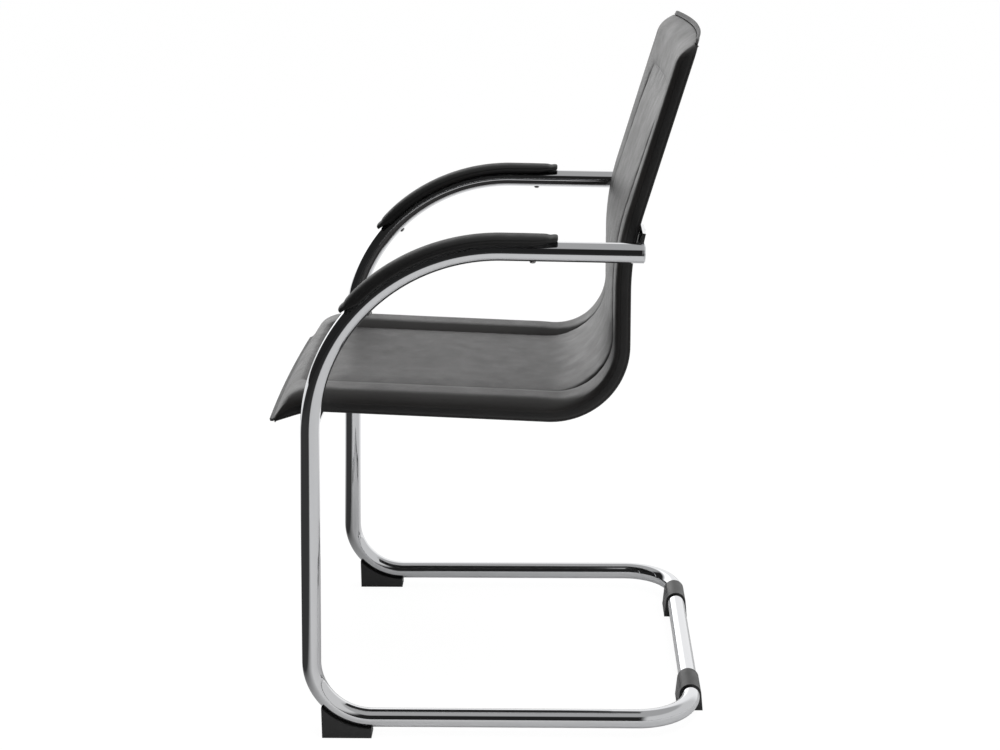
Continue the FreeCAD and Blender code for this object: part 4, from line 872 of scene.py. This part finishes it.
def mix_by_ray(tree, plain, shown, backdrop=None):
    """Shows one shader to the camera and, where the backdrop is, to glossy and transmission rays."""
    path = tree.nodes.new("ShaderNodeLightPath")

    def combine(operation, first, second):
        node = tree.nodes.new("ShaderNodeMath")
        node.operation = operation
        tree.links.new(first, node.inputs[0])
        tree.links.new(second, node.inputs[1])
        return node.outputs[0]

    share = path.outputs["Is Camera Ray"]
    if backdrop is not None:
        mirrored = combine("MAXIMUM", path.outputs["Is Glossy Ray"], path.outputs["Is Transmission Ray"])
        share = combine("MAXIMUM", share, combine("MULTIPLY", mirrored, backdrop))
    mix = tree.nodes.new("ShaderNodeMixShader")
    tree.links.new(share, mix.inputs[0])
    tree.links.new(plain.outputs[0], mix.inputs[1])
    tree.links.new(shown.outputs[0], mix.inputs[2])
    return mix


class StudioNodes:
    """A short way to write brightness by place or direction."""

    def __init__(self, tree, coordinates):
        tree.nodes.clear()
        self.tree = tree
        place = tree.nodes.new("ShaderNodeTexCoord")
        split = tree.nodes.new("ShaderNodeSeparateXYZ")
        tree.links.new(place.outputs[coordinates], split.inputs[0])
        self.x, self.y, self.z = split.outputs

    def rise(self, source, edge, low=0.0, high=1.0, kind="LINEAR"):
        """Goes from the low to the high value between the two places of an edge."""
        node = self.tree.nodes.new("ShaderNodeMapRange")
        node.interpolation_type = kind
        values = (("From Min", edge[0]), ("From Max", edge[1]), ("To Min", low), ("To Max", high))
        for label, value in values:
            node.inputs[label].default_value = value
        self.tree.links.new(source, node.inputs["Value"])
        return node.outputs["Result"]

    def mix(self, share, first, second):
        """Mixes two values, each a number or a source."""
        node = self.tree.nodes.new("ShaderNodeMix")
        for source, socket in ((share, node.inputs[0]), (first, node.inputs[2]), (second, node.inputs[3])):
            if isinstance(source, float):
                socket.default_value = source
            else:
                self.tree.links.new(source, socket)
        return node.outputs[0]

    def shader(self, kind, grey, **values):
        """A shader of one grey, given as a number or as a source."""
        node = self.tree.nodes.new(kind)
        if isinstance(grey, float):
            node.inputs["Color"].default_value = (grey, grey, grey, 1)
        else:
            self.tree.links.new(grey, node.inputs["Color"])
        for label, value in values.items():
            node.inputs[label].default_value = value
        return node


# The world's brightness by direction, and where it changes, as parts of a unit direction
DARK_SIDE, REAR_SIDE, FAR_SIDE, FAR_FRONT, OVERHEAD = 0.02, 0.72, 1.08, 1.8, 0.46
REAR_SIDE_EDGE, FAR_SIDE_EDGE, FAR_FRONT_EDGE = (0.10, 0.34), (-0.50, -0.80), (-0.03, -0.25)
OVERHEAD_EDGE = (0.66, 0.78)


def add_world():
    """White for the camera. Other rays see a bright far side, a light rear, a grey top and a dark front."""
    world = bpy.data.worlds.new("studio")
    bpy.context.scene.world = world
    world.use_nodes = True
    tree = world.node_tree
    n = StudioNodes(tree, "Generated")
    near = n.mix(n.rise(n.y, REAR_SIDE_EDGE, kind="SMOOTHSTEP"), DARK_SIDE, REAR_SIDE)
    far = n.mix(n.rise(n.y, FAR_FRONT_EDGE, kind="SMOOTHSTEP"), FAR_SIDE, FAR_FRONT)
    round_about = n.mix(n.rise(n.x, FAR_SIDE_EDGE, kind="SMOOTHSTEP"), near, far)
    value = n.mix(n.rise(n.z, OVERHEAD_EDGE, kind="SMOOTHSTEP"), round_about, OVERHEAD)
    light = n.shader("ShaderNodeBackground", value)
    white = n.shader("ShaderNodeBackground", 1.0, Strength=1.0)
    out = tree.nodes.new("ShaderNodeOutputWorld")
    tree.links.new(mix_by_ray(tree, light, white).outputs[0], out.inputs["Surface"])


# The floor: its size, its greys, how white the camera sees it, and the places between which it changes
FLOOR_SIZE, FLOOR_DROP = 30.0, 0.0002
FLOOR_LIGHT, FLOOR_DARK = 0.80, 0.05
FLOOR_SHARE, FLOOR_WHITE = 0.88, 1.08
BACKDROP_EDGE = (-0.35, -0.80)
PAPER_SIDE_EDGE, PAPER_FRONT_EDGE = (2.2, 1.8), (-0.42, -0.20)


def floor_material():
    """Paper, white behind the object and dark beside and before it. The camera sees it white throughout."""
    material = bpy.data.materials.new("floor")
    material.use_nodes = True
    tree = material.node_tree
    n = StudioNodes(tree, "Object")
    reach = tree.nodes.new("ShaderNodeMath")
    reach.operation = "MULTIPLY"
    tree.links.new(n.rise(n.x, PAPER_SIDE_EDGE), reach.inputs[0])
    tree.links.new(n.rise(n.y, PAPER_FRONT_EDGE), reach.inputs[1])
    colour = n.rise(reach.outputs[0], (0.0, 1.0), FLOOR_DARK, FLOOR_LIGHT)
    paper = n.shader("ShaderNodeBsdfDiffuse", colour)
    even = n.shader("ShaderNodeBsdfDiffuse", FLOOR_LIGHT)
    white = n.shader("ShaderNodeEmission", 1.0, Strength=FLOOR_WHITE)
    blend = tree.nodes.new("ShaderNodeMixShader")
    blend.inputs[0].default_value = FLOOR_SHARE
    tree.links.new(even.outputs[0], blend.inputs[1])
    tree.links.new(white.outputs[0], blend.inputs[2])
    out = tree.nodes.new("ShaderNodeOutputMaterial")
    mix = mix_by_ray(tree, paper, blend, n.rise(n.x, BACKDROP_EDGE))
    tree.links.new(mix.outputs[0], out.inputs["Surface"])
    return material


def add_floor():
    """A square floor just under the feet."""
    mesh = bpy.data.meshes.new("floor")
    corners = ((-1, -1), (1, -1), (1, 1), (-1, 1))
    mesh.from_pydata([(FLOOR_SIZE * x, FLOOR_SIZE * y, -FLOOR_DROP) for x, y in corners], [], [(0, 1, 2, 3)])
    mesh.materials.append(floor_material())
    link("floor", mesh)


LAMP_AIM = (0, 0, 0.5)


def add_light(name, place, size, power):
    """An area lamp that looks at the object's middle and shows in no reflection."""
    data = bpy.data.lights.new(name, "AREA")
    data.shape = "RECTANGLE"
    data.size, data.size_y = size
    data.energy = power
    lamp = bpy.data.objects.new(name, data)
    lamp.location = place
    lamp.rotation_euler = (Vector(LAMP_AIM) - Vector(place)).to_track_quat("-Z", "Y").to_euler()
    lamp.visible_glossy = False
    bpy.context.scene.collection.objects.link(lamp)


def add_lights():
    add_light("top_softbox", place=(0.2, 0.3, 2.6), size=(2.2, 2.2), power=30)
    add_light("front_softbox", place=(1.2, -2.2, 1.6), size=(2.0, 1.6), power=14)


add_camera()
add_world()
add_floor()
add_lights()
dress_nodes()
frame_tubes()
arm_pads()
border_upholstery()
panel_upholstery()
side_strips()
rear_cover_leather()
hem_leather("front_hem_leather", "front_hem", 0.0, HEM_LENGTH)
hem_leather("top_hem_leather", "top_hem", SHELL_LENGTH - HEM_LENGTH, SHELL_LENGTH)

bpy.context.scene.view_settings.view_transform = "Standard"
